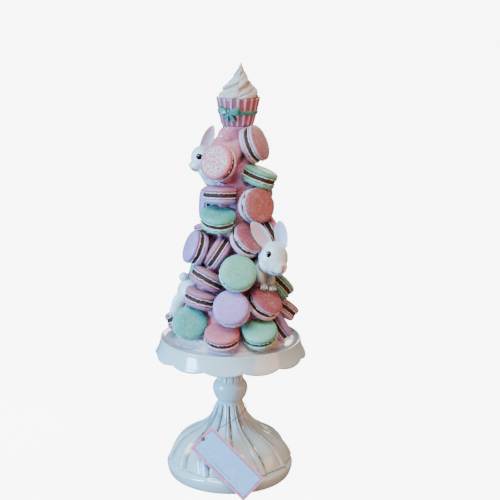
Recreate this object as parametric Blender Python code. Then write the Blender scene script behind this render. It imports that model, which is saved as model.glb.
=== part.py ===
"""Macaron tower ornament on a footed cake stand, topped by a cupcake.

Units are metres, +Z is up, the origin is the middle of the stand's foot where it
meets the table.  Azimuth 0 is the front (-Y) and grows towards +X.
"""
import math

import bmesh
import bpy
import numpy as np
from mathutils import Matrix, Vector

MM = 0.001
GAP = 0.3 * MM                      # clearance kept between neighbouring pieces

# ---------------------------------------------------------------- driving sizes
TOTAL_HEIGHT = 457 * MM             # table to the tip of the icing
PLATE_HEIGHT = 159 * MM             # table to the raised line round the plate
PLATE_RADIUS = 76 * MM
SKIRT_RADIUS = 82.8 * MM
SKIRT_DROP = 20.5 * MM              # plate to the lowest point of a scallop
SCALLOP_RISE = 3.6 * MM             # how far the cusps stand above the scallops
SKIRT_WALL = 3 * MM
SECTORS = 12                        # scallops round the plate, pleats round the foot
SCALLOP_START = 10.0                # azimuth of a cusp, degrees
PLEAT_START = 8.0                   # azimuth of a groove at the bottom of the pleats
PLEAT_TWIST = 7.0                   # degrees a pleat swings from the neck to its end
KNOP_RADIUS = 19.2 * MM
KNOP_HEIGHT = 98.0 * MM
NECK_RADIUS = 13.2 * MM
FOOT_RADIUS = 60 * MM               # flat ring the ornament stands on

MACARON_RADIUS = 18.7 * MM
MACARON_THICKNESS = 19.5 * MM
MACARON_SIDES = 12
CORE_BASE = PLATE_HEIGHT - 1.2 * MM  # the icing core stands on the plate
CASE_BOTTOM = 391 * MM
CASE_TOP = 420.5 * MM
CASE_BOTTOM_RADIUS = 16.6 * MM
CASE_TOP_RADIUS = 22.8 * MM
CASE_PLEATS = 18
CASE_PLEAT_DEPTH = 0.9 * MM
LEAN_START = 160 * MM               # the tower leans a little to +X above this
LEAN_RATE = 0.024
RIBBON_HEIGHT = 405.5 * MM
RIBBON_WIDTH = 4.2 * MM
BOW_AZIMUTH = -25.0

TAG_LENGTH = 79.5 * MM
TAG_WIDTH = 32.5 * MM
TAG_THICKNESS = 0.7 * MM
TAG_LEAN = 23.5                     # degrees the card leans back on the foot
TAG_TURN = 44.0                     # degrees its long side slopes down to the right
TAG_CORNER = (14.8 * MM, -81.2 * MM, 0.4 * MM)   # the corner that touches the table
TAG_HOLE_RADIUS = 1.6 * MM
STRING_DIAMETER = 0.9 * MM
STRING_STEP = 2.65 * MM            # length of one straight piece of the string

# ------------------------------------------------------------------- colours
COLOURS = {
    "stand": ((0.80, 0.83, 0.85), 0.16),
    "core": ((0.72, 0.42, 0.45), 0.45),
    "mint": ((0.38, 0.68, 0.55), 0.45),
    "violet": ((0.55, 0.47, 0.80), 0.45),
    "rose": ((0.78, 0.38, 0.45), 0.45),
    "coral": ((0.74, 0.30, 0.27), 0.45),
    "rabbit": ((0.86, 0.86, 0.86), 0.4),
    "case": ((0.66, 0.22, 0.28), 0.4),
    "icing": ((0.86, 0.84, 0.80), 0.6),
    "ribbon": ((0.22, 0.62, 0.55), 0.35),
    "tag": ((0.78, 0.86, 0.92), 0.6),
    "string": ((0.45, 0.47, 0.50), 0.7),
}

# ------------------------------------------------- macarons, as read off the front
# azimuth, height mm, radius mm, face azimuth, face elevation, size, flavour
FRONT_MACARONS = (
    (-38, 368, 17, -10, 28, 0.95, "rose"),
    (-27, 354, 35, -33, 23, 1.00, "rose"),
    (49, 372.4, 22.6, 70, 23, 1.05, "coral"),
    (55, 339, 30, 93, 70, 1.00, "mint"),
    (-32, 321, 31, 172, 83, 0.98, "violet"),
    (-97, 304, 29, -85, 3, 0.93, "violet"),
    (-26, 296, 37, 6, 70, 1.00, "mint"),
    (35, 311, 39, 33, 15, 1.00, "coral"),
    (72, 281, 40, 98, 30, 1.00, "rose"),
    (-51, 265, 49, -73, 22, 0.95, "violet"),
    (-79, 280, 27, -137, 72, 1.00, "rose"),
    (-27, 260, 37, -95, 33, 0.97, "rose"),
    (18, 274, 42, 46, 43, 1.00, "coral"),
    (6, 246, 55, 8, 31, 1.02, "mint"),
    (-36, 232, 46, 108, 59, 1.00, "rose"),
    (-93, 236, 36, -94, 16, 1.00, "mint"),
    (-40, 213, 50, 95, 74, 1.00, "rose"),
    (0, 207, 60, -10, 31, 1.02, "violet"),
    (-44, 186, 62, 6, 25, 0.98, "mint"),
    (-10, 175, 58, -2, 71, 1.00, "rose"),
    (30, 178, 60, -6, 58, 1.00, "mint"),
    (37, 209, 56, 49, 49, 1.00, "coral"),
    (83, 217, 48, 115, 42, 0.97, "mint"),
    (73, 180, 56, 92, 34, 0.95, "violet"),
    (100, 188, 56, 116, 50, 0.93, "coral"),
    (-86, 181, 53, -136, 63, 1.00, "rose"),
)
# the unseen side repeats the same habit: height, radius, first and last azimuth, count
BACK_ROWS = (
    (180, 55, 132, 238, 4),
    (217, 48, 138, 222, 3),
    (252, 41, 122, 231, 3),
    (288, 35, 142, 212, 2),
    (322, 27, 120, 202, 2),
    (358, 23, 165, 165, 1),
)
BACK_HABITS = ((90, 12), (10, 62), (-70, 35), (150, 78))  # turn from outward, elevation
BACK_FLAVOURS = ("mint", "rose", "violet", "coral", "mint", "violet", "rose")
BACK_SIZES = (1.0, 0.97, 1.02)
OUTWARD_HABIT = (0, 20)             # the first and last macaron of a back row face outwards

# icing core: height mm, radius mm
CORE_OUTLINE = ((0, 56.5), (7, 54.5), (28, 51), (58, 44.5), (92, 37), (130, 31), (180, 23),
                (231.5, 15.5))
CORE_SIDES = 16
CORE_LUMP = 1.4 * MM
SOCKET_SIDES = 7
DAB_RADIUS = 9 * MM
DAB_OVERLAP = 2.5 * MM


# --------------------------------------------------------------------- helpers
def clear_scene():
    for item in list(bpy.data.objects):
        bpy.data.objects.remove(item, do_unlink=True)


def finish(name):
    """Principled material with one of the named colours."""
    known = bpy.data.materials.get(name)
    if known:
        return known
    colour, roughness = COLOURS[name]
    material = bpy.data.materials.new(name)
    material.use_nodes = True
    shader = material.node_tree.nodes["Principled BSDF"]
    shader.inputs["Base Color"].default_value = (*colour, 1.0)
    shader.inputs["Roughness"].default_value = roughness
    shader.inputs["Metallic"].default_value = 0.0
    return material


def add_object(name, mesh, colour):
    item = bpy.data.objects.new(name, mesh)
    bpy.context.scene.collection.objects.link(item)
    mesh.materials.clear()
    mesh.materials.append(finish(colour))
    mesh.shade_smooth()
    mesh.set_sharp_from_angle(angle=math.radians(50))
    return item


def lean(height):
    """How far the tower's axis has moved to +X at a height."""
    return LEAN_RATE * max(0.0, height - LEAN_START)


def around(azimuth, radius, height, leaning=True):
    """Point at an azimuth in degrees and a radius round the tower's axis."""
    turn = math.radians(azimuth)
    shift = lean(height) if leaning else 0.0
    return Vector((shift + radius * math.sin(turn), -radius * math.cos(turn), height))


def heading(azimuth, elevation):
    """Unit vector that points at an azimuth and an elevation in degrees."""
    turn = math.radians(azimuth)
    rise = math.radians(elevation)
    flat = math.cos(rise)
    return Vector((flat * math.sin(turn), -flat * math.cos(turn), math.sin(rise)))


def skin_rings(rings, close_bottom=True, close_top=True):
    """Closed mesh over rings of points that run upwards, wound to face outwards."""
    mesh = bmesh.new()
    loops = [[mesh.verts.new(point) for point in ring] for ring in rings]
    for lower, upper in zip(loops, loops[1:]):
        count = len(lower)
        for i in range(count):
            j = (i + 1) % count
            mesh.faces.new((lower[i], lower[j], upper[j], upper[i]))
    if close_bottom:
        mesh.faces.new(list(reversed(loops[0])))
    if close_top:
        mesh.faces.new(loops[-1])
    bmesh.ops.recalc_face_normals(mesh, faces=mesh.faces)
    data = bpy.data.meshes.new("rings")
    mesh.to_mesh(data)
    mesh.free()
    return data


def blob(centre, radii, axis=(0, 0, 1), front=(0, -1, 0), sides=12, rings=7):
    """Ellipsoid whose third radius lies along an axis and its second towards the front."""
    long = Vector(axis).normalized()
    side = Vector(front).cross(long).normalized()
    thin = long.cross(side)
    turn = Matrix((side, thin, long)).transposed().to_4x4()
    mesh = bmesh.new()
    bmesh.ops.create_uvsphere(mesh, u_segments=sides, v_segments=rings, radius=1.0)
    place = Matrix.Translation(centre) @ turn @ Matrix.Diagonal((*radii, 1.0))
    bmesh.ops.transform(mesh, matrix=place, verts=mesh.verts)
    data = bpy.data.meshes.new("blob")
    mesh.to_mesh(data)
    mesh.free()
    item = bpy.data.objects.new("blob", data)
    bpy.context.scene.collection.objects.link(item)
    return item


def combine(base, others, operation, solver="EXACT"):
    """One Boolean of a body with a collection of others, which are then dropped."""
    group = bpy.data.collections.new("others")
    bpy.context.scene.collection.children.link(group)
    for other in others:
        group.objects.link(other)
    step = base.modifiers.new("step", "BOOLEAN")
    step.operation = operation
    step.operand_type = "COLLECTION"
    step.collection = group
    step.solver = solver
    graph = bpy.context.evaluated_depsgraph_get()
    result = bpy.data.meshes.new_from_object(base.evaluated_get(graph))
    base.modifiers.clear()
    base.data = result
    for other in others:
        bpy.data.objects.remove(other, do_unlink=True)
    bpy.data.collections.remove(group)
    return base


def tidy_mesh(item, distance=0.01 * MM):
    """Weld the tiny edges that a cut leaves."""
    mesh = bmesh.new()
    mesh.from_mesh(item.data)
    bmesh.ops.remove_doubles(mesh, verts=mesh.verts, dist=distance)
    bmesh.ops.dissolve_degenerate(mesh, dist=distance, edges=mesh.edges)
    bmesh.ops.recalc_face_normals(mesh, faces=mesh.faces)
    mesh.to_mesh(item.data)
    mesh.free()
    return item


def name_piece(item, name, colour):
    """Give a fused shape its node name, colour and smooth shading."""
    mesh = item.data
    bpy.data.objects.remove(item, do_unlink=True)
    return add_object(name, mesh, colour)


# ------------------------------------------------------------------- the stand
def scallop(fraction):
    """Drop of the skirt's edge across one scallop, 0 at the cusps and 1 between."""
    return math.sin(math.pi * fraction) ** 0.7 if 0 < fraction < 1 else 0.0


def pleat(fraction):
    """Height of one pleat across its width: it swells, then steps down to the next."""
    if fraction < 0.86:
        return 0.25 + 0.75 * math.sin(0.5 * math.pi * fraction / 0.86)
    return 0.0


def stand_ring(radius, height, start=SCALLOP_START, shares=(0, 0.25, 0.5, 0.75),
               swell=None, swell_depth=0.0, edge=None, edge_depth=0.0):
    """One ring of the stand, with the same few points in each of the twelve sectors."""
    width = 360.0 / SECTORS
    ring = []
    for sector in range(SECTORS):
        for share in shares:
            azimuth = start + (sector + share) * width
            r = radius + (swell_depth * swell(share) if swell else 0.0)
            z = height - (edge_depth * edge(share) if edge else 0.0)
            ring.append(around(azimuth, r, z, leaning=False))
    return ring


def build_stand():
    low = PLATE_HEIGHT - SKIRT_DROP + SCALLOP_RISE
    top = PLATE_HEIGHT
    scallops = dict(edge=scallop, edge_depth=SCALLOP_RISE)
    half = dict(edge=scallop, edge_depth=0.4 * SCALLOP_RISE)
    pleat_shares = (0.0, 0.4, 0.8, 0.93)
    rings = []
    # foot: flat ring on the table, rounded band, then the pleats up to the neck
    for radius, height in ((FOOT_RADIUS, 0), (68.4 * MM, 6), (70.2 * MM, 15)):
        rings.append(stand_ring(radius, height * MM, PLEAT_START, pleat_shares))
    pleats = ((67.4, 21, 0.9), (64.0, 30, 2.2), (56.8, 41.5, 3.0), (43.2, 53, 3.0),
              (28.4, 59.5, 2.4), (18.8, 69, 1.6), (13.6, 79, 0.9))
    for radius, height, depth in pleats:
        swing = PLEAT_TWIST * (height - 21) / (79 - 21)
        rings.append(stand_ring(radius * MM, height * MM, PLEAT_START - swing, pleat_shares,
                                pleat, depth * MM))
    # stem: neck, knop and fluted upper neck
    stem_start = PLEAT_START - PLEAT_TWIST
    for share, rise in ((0.69, -14), (0.95, -7), (0.98, 3), (0.69, 11)):
        height = KNOP_HEIGHT + rise * MM
        rings.append(stand_ring(share * KNOP_RADIUS, height, stem_start, pleat_shares))
    rings.append(stand_ring(NECK_RADIUS, 118 * MM, stem_start, pleat_shares, pleat, 1 * MM))
    rings.append(stand_ring(20 * MM, 144 * MM))
    # underside of the plate, inner face and lower edge of the skirt
    rings.append(stand_ring(PLATE_RADIUS - 5 * MM, top - 5 * MM))
    rings.append(stand_ring(SKIRT_RADIUS - SKIRT_WALL, low + 1 * MM, **scallops))
    rings.append(stand_ring(SKIRT_RADIUS, low, **scallops))
    # outer face of the skirt, raised line and the plate's sunk top
    rings.append(stand_ring(PLATE_RADIUS + 3 * MM, top - 9 * MM, **half))
    rings.append(stand_ring(PLATE_RADIUS + 0.6 * MM, top - 1.0 * MM))
    rings.append(stand_ring(PLATE_RADIUS - 0.6 * MM, top))
    rings.append(stand_ring(PLATE_RADIUS - 2.2 * MM, top - 1.6 * MM))
    return add_object("cake_stand", skin_rings(rings), "stand")


# ---------------------------------------------------------------- the macarons
class Macaron:
    """One macaron: a round sandwich with a centre and the axis its faces look along."""

    def __init__(self, azimuth, height, radius, face_azimuth, face_elevation, size, flavour):
        self.centre = around(azimuth, radius * MM, height * MM)
        self.axis = heading(face_azimuth, face_elevation)
        self.radius = MACARON_RADIUS * size
        self.half = 0.5 * MACARON_THICKNESS * size
        self.flavour = flavour
        self.spin = math.radians(azimuth * 7.0)

    def place(self):
        turn = self.axis.to_track_quat("Z", "Y").to_matrix().to_4x4()
        return Matrix.Translation(self.centre) @ turn @ Matrix.Rotation(self.spin, 4, "Z")


# side view from the inner face to the outer one: share of the radius, share of half
# the thickness.  The notch between the shells stands for the filling.
SANDWICH_OUTLINE = ((0.78, -0.90), (1.0, -0.48), (0.93, 0.0), (1.0, 0.48), (0.78, 0.90))
HULL_OUTLINE = ((1.0, -0.87), (1.0, 0.87))
HULL_POLE = 1.06                    # pole of the hull, share of half the thickness


def macaron_mesh(macaron, outline, swell=0.0, sides=MACARON_SIDES, pole_share=1.0):
    """Round sandwich turned from its side view, closed by two poles."""
    place = macaron.place()
    half = macaron.half + swell
    reach = macaron.radius + swell
    mesh = bmesh.new()
    loops = []
    for r, h in outline:
        loop = []
        for i in range(sides):
            turn = 2 * math.pi * i / sides
            local = Vector((r * reach * math.cos(turn), r * reach * math.sin(turn), h * half))
            loop.append(mesh.verts.new(place @ local))
        loops.append(loop)
    for lower, upper in zip(loops, loops[1:]):
        for i in range(sides):
            j = (i + 1) % sides
            mesh.faces.new((lower[i], lower[j], upper[j], upper[i]))
    for loop, side in ((loops[0], -1), (loops[-1], 1)):
        pole = mesh.verts.new(place @ Vector((0, 0, side * half * pole_share)))
        for i in range(sides):
            mesh.faces.new((loop[i], loop[(i + 1) % sides], pole))
    bmesh.ops.recalc_face_normals(mesh, faces=mesh.faces)
    data = bpy.data.meshes.new("macaron")
    mesh.to_mesh(data)
    mesh.free()
    return data


def build_macaron(macaron, index):
    data = macaron_mesh(macaron, SANDWICH_OUTLINE)
    return add_object(f"macaron_{index:02d}_{macaron.flavour}", data, macaron.flavour)


def macaron_cutter(macaron):
    """A slightly swollen macaron, to cut the hollow that the real one sits in."""
    swell = GAP + macaron.radius * (1 / math.cos(math.pi / SOCKET_SIDES) - 1)
    data = macaron_mesh(macaron, HULL_OUTLINE, swell, SOCKET_SIDES, HULL_POLE)
    item = bpy.data.objects.new("cutter", data)
    bpy.context.scene.collection.objects.link(item)
    return item


def surface_points():
    """Points all over a macaron of unit radius and unit half thickness, poles along Z."""
    points = []
    sides = 24
    steps = ((0.0, 1.0), (0.38, 0.95), (0.76, 0.9), (0.88, 0.7), (1.0, 0.5), (1.0, 0.0),
             (1.0, -0.5), (0.88, -0.7), (0.76, -0.9), (0.38, -0.95), (0.0, -1.0))
    for r, h in steps:
        for i in range(sides):
            turn = 2 * math.pi * i / sides
            points.append((r * math.cos(turn), r * math.sin(turn), h))
    return np.array(points)


def overlap(points, other_centre, other_axes, reach, half):
    """Deepest overlap of some points with a macaron, and the way out of it."""
    local = (points - other_centre) @ other_axes
    rho = np.hypot(local[:, 0], local[:, 1])
    level = np.abs(local[:, 2])
    share = np.clip(rho / reach, 0.0, 1.0)
    axial = half * np.interp(share, [0.0, 0.76, 1.0], [1.0, 0.9, 0.5]) - level
    radial = reach * np.interp(level / half, [0.0, 0.5, 0.9, 1.0], [1.0, 1.0, 0.76, 0.0]) - rho
    depth = np.minimum(axial, radial)
    worst = int(np.argmax(depth))
    if depth[worst] <= 0.0:
        return 0.0, None
    if axial[worst] < radial[worst]:
        way = other_axes[:, 2] * math.copysign(1.0, local[worst, 2])
    else:
        way = other_axes[:, :2] @ (local[worst, :2] / max(rho[worst], 1e-9))
    return float(depth[worst]), way


def shuffle_apart(macarons, rounds=240):
    """Nudge touching macarons apart until a clear gap runs between all of them.

    A macaron of the front keeps its place against one of the unseen side, and one of
    the unseen side slides round the tower at nearly its own radius.
    """
    margin = 0.6 * GAP
    unit = surface_points()
    shapes = [unit * (m.radius + margin, m.radius + margin, m.half + margin) for m in macarons]
    centres = np.array([m.centre[:] for m in macarons])
    axes = [np.array(m.place().to_3x3()) for m in macarons]
    skins = [shape @ turn.T for shape, turn in zip(shapes, axes)]
    fixed = [i < len(FRONT_MACARONS) for i in range(len(macarons))]
    rings = [math.hypot(c[0] - lean(c[2]), c[1]) for c in centres]
    floor = PLATE_HEIGHT + GAP
    worst = 0.0
    for _ in range(rounds):
        worst = 0.0
        for i in range(len(macarons)):
            for j in range(len(macarons)):
                if i == j or np.linalg.norm(centres[i] - centres[j]) > 2.3 * MACARON_RADIUS:
                    continue
                other = macarons[j]
                depth, way = overlap(skins[i] + centres[i], centres[j], axes[j],
                                     other.radius + margin, other.half + margin)
                if way is None:
                    continue
                worst = max(worst, depth)
                share = 0.5 if fixed[i] == fixed[j] else (0.0 if fixed[i] else 1.0)
                centres[i] += share * depth * way
                centres[j] -= (1.0 - share) * depth * way
            if not fixed[i]:
                middle = np.array([lean(centres[i][2]), 0.0])
                out = centres[i][:2] - middle
                reach = np.linalg.norm(out)
                kept = min(max(reach, rings[i]), rings[i] + 5 * MM)
                centres[i][:2] = middle + out * kept / reach
            lowest = skins[i][:, 2].min() + centres[i][2]
            if lowest < floor:
                centres[i][2] += floor - lowest
        if worst < 0.05 * GAP:
            break
    for macaron, centre in zip(macarons, centres):
        macaron.centre = Vector(centre)
    return worst


def lay_out_macarons():
    macarons = [Macaron(*row) for row in FRONT_MACARONS]
    number = 0
    for row, (height, radius, first, last, count) in enumerate(BACK_ROWS):
        for i in range(count):
            azimuth = first + (last - first) * i / max(count - 1, 1)
            at_end = i in (0, count - 1)
            turn, elevation = OUTWARD_HABIT if at_end else BACK_HABITS[(number + row) % 4]
            flavour = BACK_FLAVOURS[number % len(BACK_FLAVOURS)]
            size = BACK_SIZES[number % len(BACK_SIZES)]
            macarons.append(Macaron(azimuth, height, radius, azimuth + turn, elevation, size,
                                    flavour))
            number += 1
    shuffle_apart(macarons)
    return macarons


# ---------------------------------------------------------------- the icing core
def core_radius(height):
    levels = [CORE_BASE + level * MM for level, _ in CORE_OUTLINE]
    return float(np.interp(height, levels, [radius * MM for _, radius in CORE_OUTLINE]))


def icing_dab(macaron):
    """Dab of icing behind a macaron that stands too far out for the cone, or None."""
    height = macaron.centre.z
    out = macaron.centre - around(0, 0, height)
    distance = out.length
    out.normalize()
    facing = abs(macaron.axis.dot(out))
    inward = macaron.half * facing + macaron.radius * math.sqrt(1 - facing * facing)
    if distance - inward < core_radius(height) - DAB_OVERLAP:
        return None
    middle = macaron.centre - out * (0.8 * inward + DAB_RADIUS)
    return blob(middle, (DAB_RADIUS, DAB_RADIUS, DAB_RADIUS * 1.7), out, (0, 0, 1),
                sides=7, rings=4)


def build_core(macarons, hollows):
    """Lumpy cone of icing on the plate, with a hollow for each thing pressed into it."""
    rings = []
    for level, radius in CORE_OUTLINE:
        height = CORE_BASE + level * MM + GAP
        ring = []
        for i in range(CORE_SIDES):
            azimuth = 360.0 * i / CORE_SIDES
            turn = math.radians(azimuth)
            lump = CORE_LUMP * math.sin(5 * turn + 0.07 * level) * math.cos(0.11 * level + turn)
            ring.append(around(azimuth, radius * MM + lump, height))
        rings.append(ring)
    core = add_object("icing_core", skin_rings(rings), "core")
    dabs = [dab for dab in map(icing_dab, macarons) if dab]
    cutters = [macaron_cutter(macaron) for macaron in macarons]
    # the exact solver loses the whole body at one of these many cuts
    combine(core, dabs, "UNION", "MANIFOLD")
    combine(core, cutters + hollows, "DIFFERENCE", "MANIFOLD")
    keep_largest(core)
    return name_piece(tidy_mesh(core), "icing_core", "core")


# -------------------------------------------------------------------- the rabbits
def rabbit_parts(parts, swell=0.0):
    """Ellipsoids in millimetres: centre, radii, axis of the third radius, sides, rings."""
    made = []
    for centre, radii, axis, sides, rings in parts:
        made.append(blob([c * MM for c in centre], [r * MM + swell for r in radii], axis,
                         sides=sides, rings=rings))
    return made


# head in profile to the left, one ear up, chest going back into the icing
RABBIT_LEFT = (
    ((-34.0, -9, 356.0), (9.8, 10.8, 11.8), (-0.35, 0, 1), 12, 8),       # head
    ((-37.6, -9.3, 350.4), (7.4, 7.6, 9.0), (-0.8, 0, -0.6), 10, 6),     # muzzle
    ((-25.4, -8, 377.5), (5.4, 2.2, 14.8), (0.40, 0, 0.94), 8, 6),       # near ear
    ((-30.5, 4.5, 375.5), (5.0, 2.2, 14.0), (0.05, 0.3, 1), 8, 6),       # far ear
    ((-20.5, -5, 337), (11, 11, 15), (-0.6, -0.05, 0.8), 10, 6),         # chest
)
RABBIT_LEFT_BULK = RABBIT_LEFT[4:]
# head turned to the front right, two ears, forelegs on the macaron below
RABBIT_RIGHT = (
    ((43.6, -44, 258.8), (16.0, 15.2, 16.4), (0.3, -0.2, -0.9), 12, 8),  # head
    ((48.0, -51.0, 250.6), (9.8, 9.0, 9.4), (0.5, -0.6, -0.6), 10, 6),   # muzzle
    ((28.2, -42, 284.0), (6.6, 2.4, 16.8), (-0.56, -0.05, 0.83), 8, 6),  # left ear
    ((54.0, -46, 283.6), (6.0, 2.4, 15.8), (-0.12, 0.06, 0.99), 8, 6),   # right ear
    ((34, -36, 244), (13.0, 13, 15), (0.2, -0.2, 1), 9, 5),              # chest
    ((31.2, -45.6, 238.5), (5.6, 5.2, 13.0), (-0.2, -0.15, 1), 7, 5),    # left foreleg
    ((41.8, -43.5, 234.0), (5.4, 5.0, 12.0), (-0.1, -0.25, 1), 7, 5),    # right foreleg
    ((33.4, -44.6, 227.4), (4.6, 3.6, 5.6), (0.1, -1, -0.35), 7, 4),     # left paw
    ((42.8, -41.0, 225.0), (4.6, 3.6, 5.6), (0.2, -1, -0.35), 7, 4),     # right paw
)
RABBIT_RIGHT_BULK = RABBIT_RIGHT[4:5]
# haunch with its round tail and a hind foot, the rest sunk in the icing
RABBIT_LOW = (
    ((-44.0, -13, 213), (14.0, 15.0, 14.0), (0, 0, 1), 12, 8),           # haunch
    ((-50.5, -15, 229), (5.4, 5.4, 5.4), (0, 0, 1), 8, 6),               # tail
    ((-57.0, -17, 201), (6.6, 4.8, 12.0), (0.36, 0, 1), 10, 6),          # hind foot
)
RABBIT_LOW_BULK = RABBIT_LOW[:1]


def build_rabbit(name, parts, macarons):
    pieces = rabbit_parts(parts)
    rabbit = combine(pieces[0], pieces[1:], "UNION")
    corners = [Vector(corner) for corner in rabbit.bound_box]
    middle = sum(corners, Vector()) / 8
    reach = (corners[6] - corners[0]).length / 2 + MACARON_RADIUS
    near = [macaron_cutter(m) for m in macarons if (m.centre - middle).length < reach]
    combine(rabbit, near, "DIFFERENCE")
    keep_largest(rabbit)
    return name_piece(tidy_mesh(rabbit), name, "rabbit")


def keep_largest(item):
    """Drop the loose scraps that a cut can leave, and keep the biggest body."""
    mesh = bmesh.new()
    mesh.from_mesh(item.data)
    left = set(mesh.verts)
    bodies = []
    while left:
        stack = [left.pop()]
        body = set(stack)
        while stack:
            for edge in stack.pop().link_edges:
                for vert in edge.verts:
                    if vert in left:
                        left.discard(vert)
                        body.add(vert)
                        stack.append(vert)
        bodies.append(body)
    biggest = max(bodies, key=len)
    scraps = [vert for vert in mesh.verts if vert not in biggest]
    bmesh.ops.delete(mesh, geom=scraps, context="VERTS")
    mesh.to_mesh(item.data)
    mesh.free()


# -------------------------------------------------------------------- the cupcake
def build_case():
    """Pleated paper case, solid inside, a shallow rim round its top."""
    count = CASE_PLEATS * 2
    rings = []
    levels = ((0.0, 1.0), (0.5, 1.0), (1.0, 1.0), (1.0, 0.93), (0.93, 0.90))
    for share, inset in levels:
        height = CASE_BOTTOM + share * (CASE_TOP - CASE_BOTTOM)
        spread = CASE_BOTTOM_RADIUS + share * (CASE_TOP_RADIUS - CASE_BOTTOM_RADIUS)
        ring = []
        for i in range(count):
            proud = 0.5 if i % 2 == 0 else -0.5
            depth = CASE_PLEAT_DEPTH if inset == 1.0 else 0.0
            ring.append(around(360.0 * i / count, spread * inset + proud * depth, height))
        rings.append(ring)
    return add_object("cupcake_case", skin_rings(rings), "case")


SWIRL_OUTLINE = ((0.0, 18.0), (1.9, 18.9), (2.6, 21.0), (7.2, 18.6), (12.0, 14.9), (16.6, 11.4), (20.6, 8.6),
                 (24.6, 6.2), (29.0, 3.9), (32.6, 2.2), (35.8, 0.9))
SWIRL_SIDES = 24
SWIRL_LOBES = 6
SWIRL_DEPTH = 0.075                 # share of the radius
SWIRL_TURN = 9.5                    # degrees of twist for each millimetre of height
SWIRL_LEAN = 0.05


def build_swirl():
    """Piped icing: lobes that wind up to a pointed tip."""
    base = CASE_TOP + GAP - 2.05 * MM
    rings = []
    for level, radius in SWIRL_OUTLINE:
        height = base + level * MM
        ring = []
        for i in range(SWIRL_SIDES):
            azimuth = 360.0 * i / SWIRL_SIDES
            phase = math.radians(SWIRL_LOBES * (azimuth - SWIRL_TURN * level))
            reach = radius * MM * (1.0 + SWIRL_DEPTH * math.cos(phase))
            point = around(azimuth, reach, height)
            point.x += SWIRL_LEAN * level * MM
            ring.append(point)
        rings.append(ring)
    tip = around(0, 0, TOTAL_HEIGHT)
    tip.x += SWIRL_LEAN * (TOTAL_HEIGHT - base)
    mesh = skin_rings(rings, close_top=False)
    body = bmesh.new()
    body.from_mesh(mesh)
    rim = [edge.verts for edge in body.edges if edge.is_boundary]
    top = body.verts.new(tip)
    for first, second in rim:
        body.faces.new((first, second, top))
    bmesh.ops.recalc_face_normals(body, faces=body.faces)
    body.to_mesh(mesh)
    body.free()
    return add_object("icing_swirl", mesh, "icing")


def build_ribbon():
    """Flat band round the case with a bow of two loops, a knot and two tails."""
    share = (RIBBON_HEIGHT - CASE_BOTTOM) / (CASE_TOP - CASE_BOTTOM)
    middle = CASE_BOTTOM_RADIUS + share * (CASE_TOP_RADIUS - CASE_BOTTOM_RADIUS)
    slope = (CASE_TOP_RADIUS - CASE_BOTTOM_RADIUS) / (CASE_TOP - CASE_BOTTOM)
    inner = middle + 0.5 * CASE_PLEAT_DEPTH + 1.2 * GAP
    half = 0.5 * RIBBON_WIDTH
    sides = 24
    corners = ((0.0, -half), (0.9 * MM, -half), (0.9 * MM, half), (0.0, half))
    mesh = bmesh.new()
    loops = []
    for i in range(sides):
        azimuth = 360.0 * i / sides
        section = []
        for depth, rise in corners:
            radius = inner + depth + slope * rise
            section.append(mesh.verts.new(around(azimuth, radius, RIBBON_HEIGHT + rise)))
        loops.append(section)
    for i in range(sides):
        here, there = loops[i], loops[(i + 1) % sides]
        for k in range(4):
            j = (k + 1) % 4
            mesh.faces.new((here[k], there[k], there[j], here[j]))
    bmesh.ops.recalc_face_normals(mesh, faces=mesh.faces)
    data = bpy.data.meshes.new("band")
    mesh.to_mesh(data)
    mesh.free()
    band = bpy.data.objects.new("band", data)
    bpy.context.scene.collection.objects.link(band)
    outward = heading(BOW_AZIMUTH, 0)
    sideways = heading(BOW_AZIMUTH + 90, 0)
    centre = around(BOW_AZIMUTH, inner + 1.6 * MM, RIBBON_HEIGHT + 2.2 * MM)
    up = Vector((0, 0, 1))
    bow = [blob(centre + 0.3 * MM * outward, (1.7 * MM, 1.7 * MM, 2.3 * MM), up, outward,
                sides=8, rings=5)]
    for side in (-1, 1):
        loop = centre + side * 4.8 * MM * sideways + 0.4 * MM * outward
        bow.append(blob(loop, (3.9 * MM, 1.8 * MM, 4.8 * MM), side * sideways, outward,
                        sides=8, rings=5))
        tail = centre + side * 2.9 * MM * sideways - 6.0 * MM * up + 0.2 * MM * outward
        bow.append(blob(tail, (1.9 * MM, 1.1 * MM, 6.4 * MM),
                        0.45 * side * sideways - up, outward, sides=8, rings=5))
    ribbon = combine(band, bow, "UNION")
    return name_piece(tidy_mesh(ribbon), "ribbon_bow", "ribbon")


# ------------------------------------------------------------- hang tag and string
def tag_frame():
    """Corner on the table, unit vectors along the card, across it and out of its front."""
    lean_back = math.radians(TAG_LEAN)
    turn = math.radians(TAG_TURN)
    front = Vector((0, -math.cos(lean_back), math.sin(lean_back)))
    up = Vector((0, math.sin(lean_back), math.cos(lean_back)))
    right = Vector((1, 0, 0))
    along = math.sin(turn) * up - math.cos(turn) * right
    across = math.cos(turn) * up + math.sin(turn) * right
    return Vector(TAG_CORNER), along, across, front


def on_tag(from_end, sideways, proud):
    """Point near the card: distance from its upper short edge, off its middle line."""
    corner, along, across, front = tag_frame()
    start = corner + TAG_LENGTH * along + 0.5 * TAG_WIDTH * across
    return start - from_end * MM * along + sideways * MM * across + proud * MM * front


TAG_HOLE = 2.9                      # mm from the short edge to the middle of the hole


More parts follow.
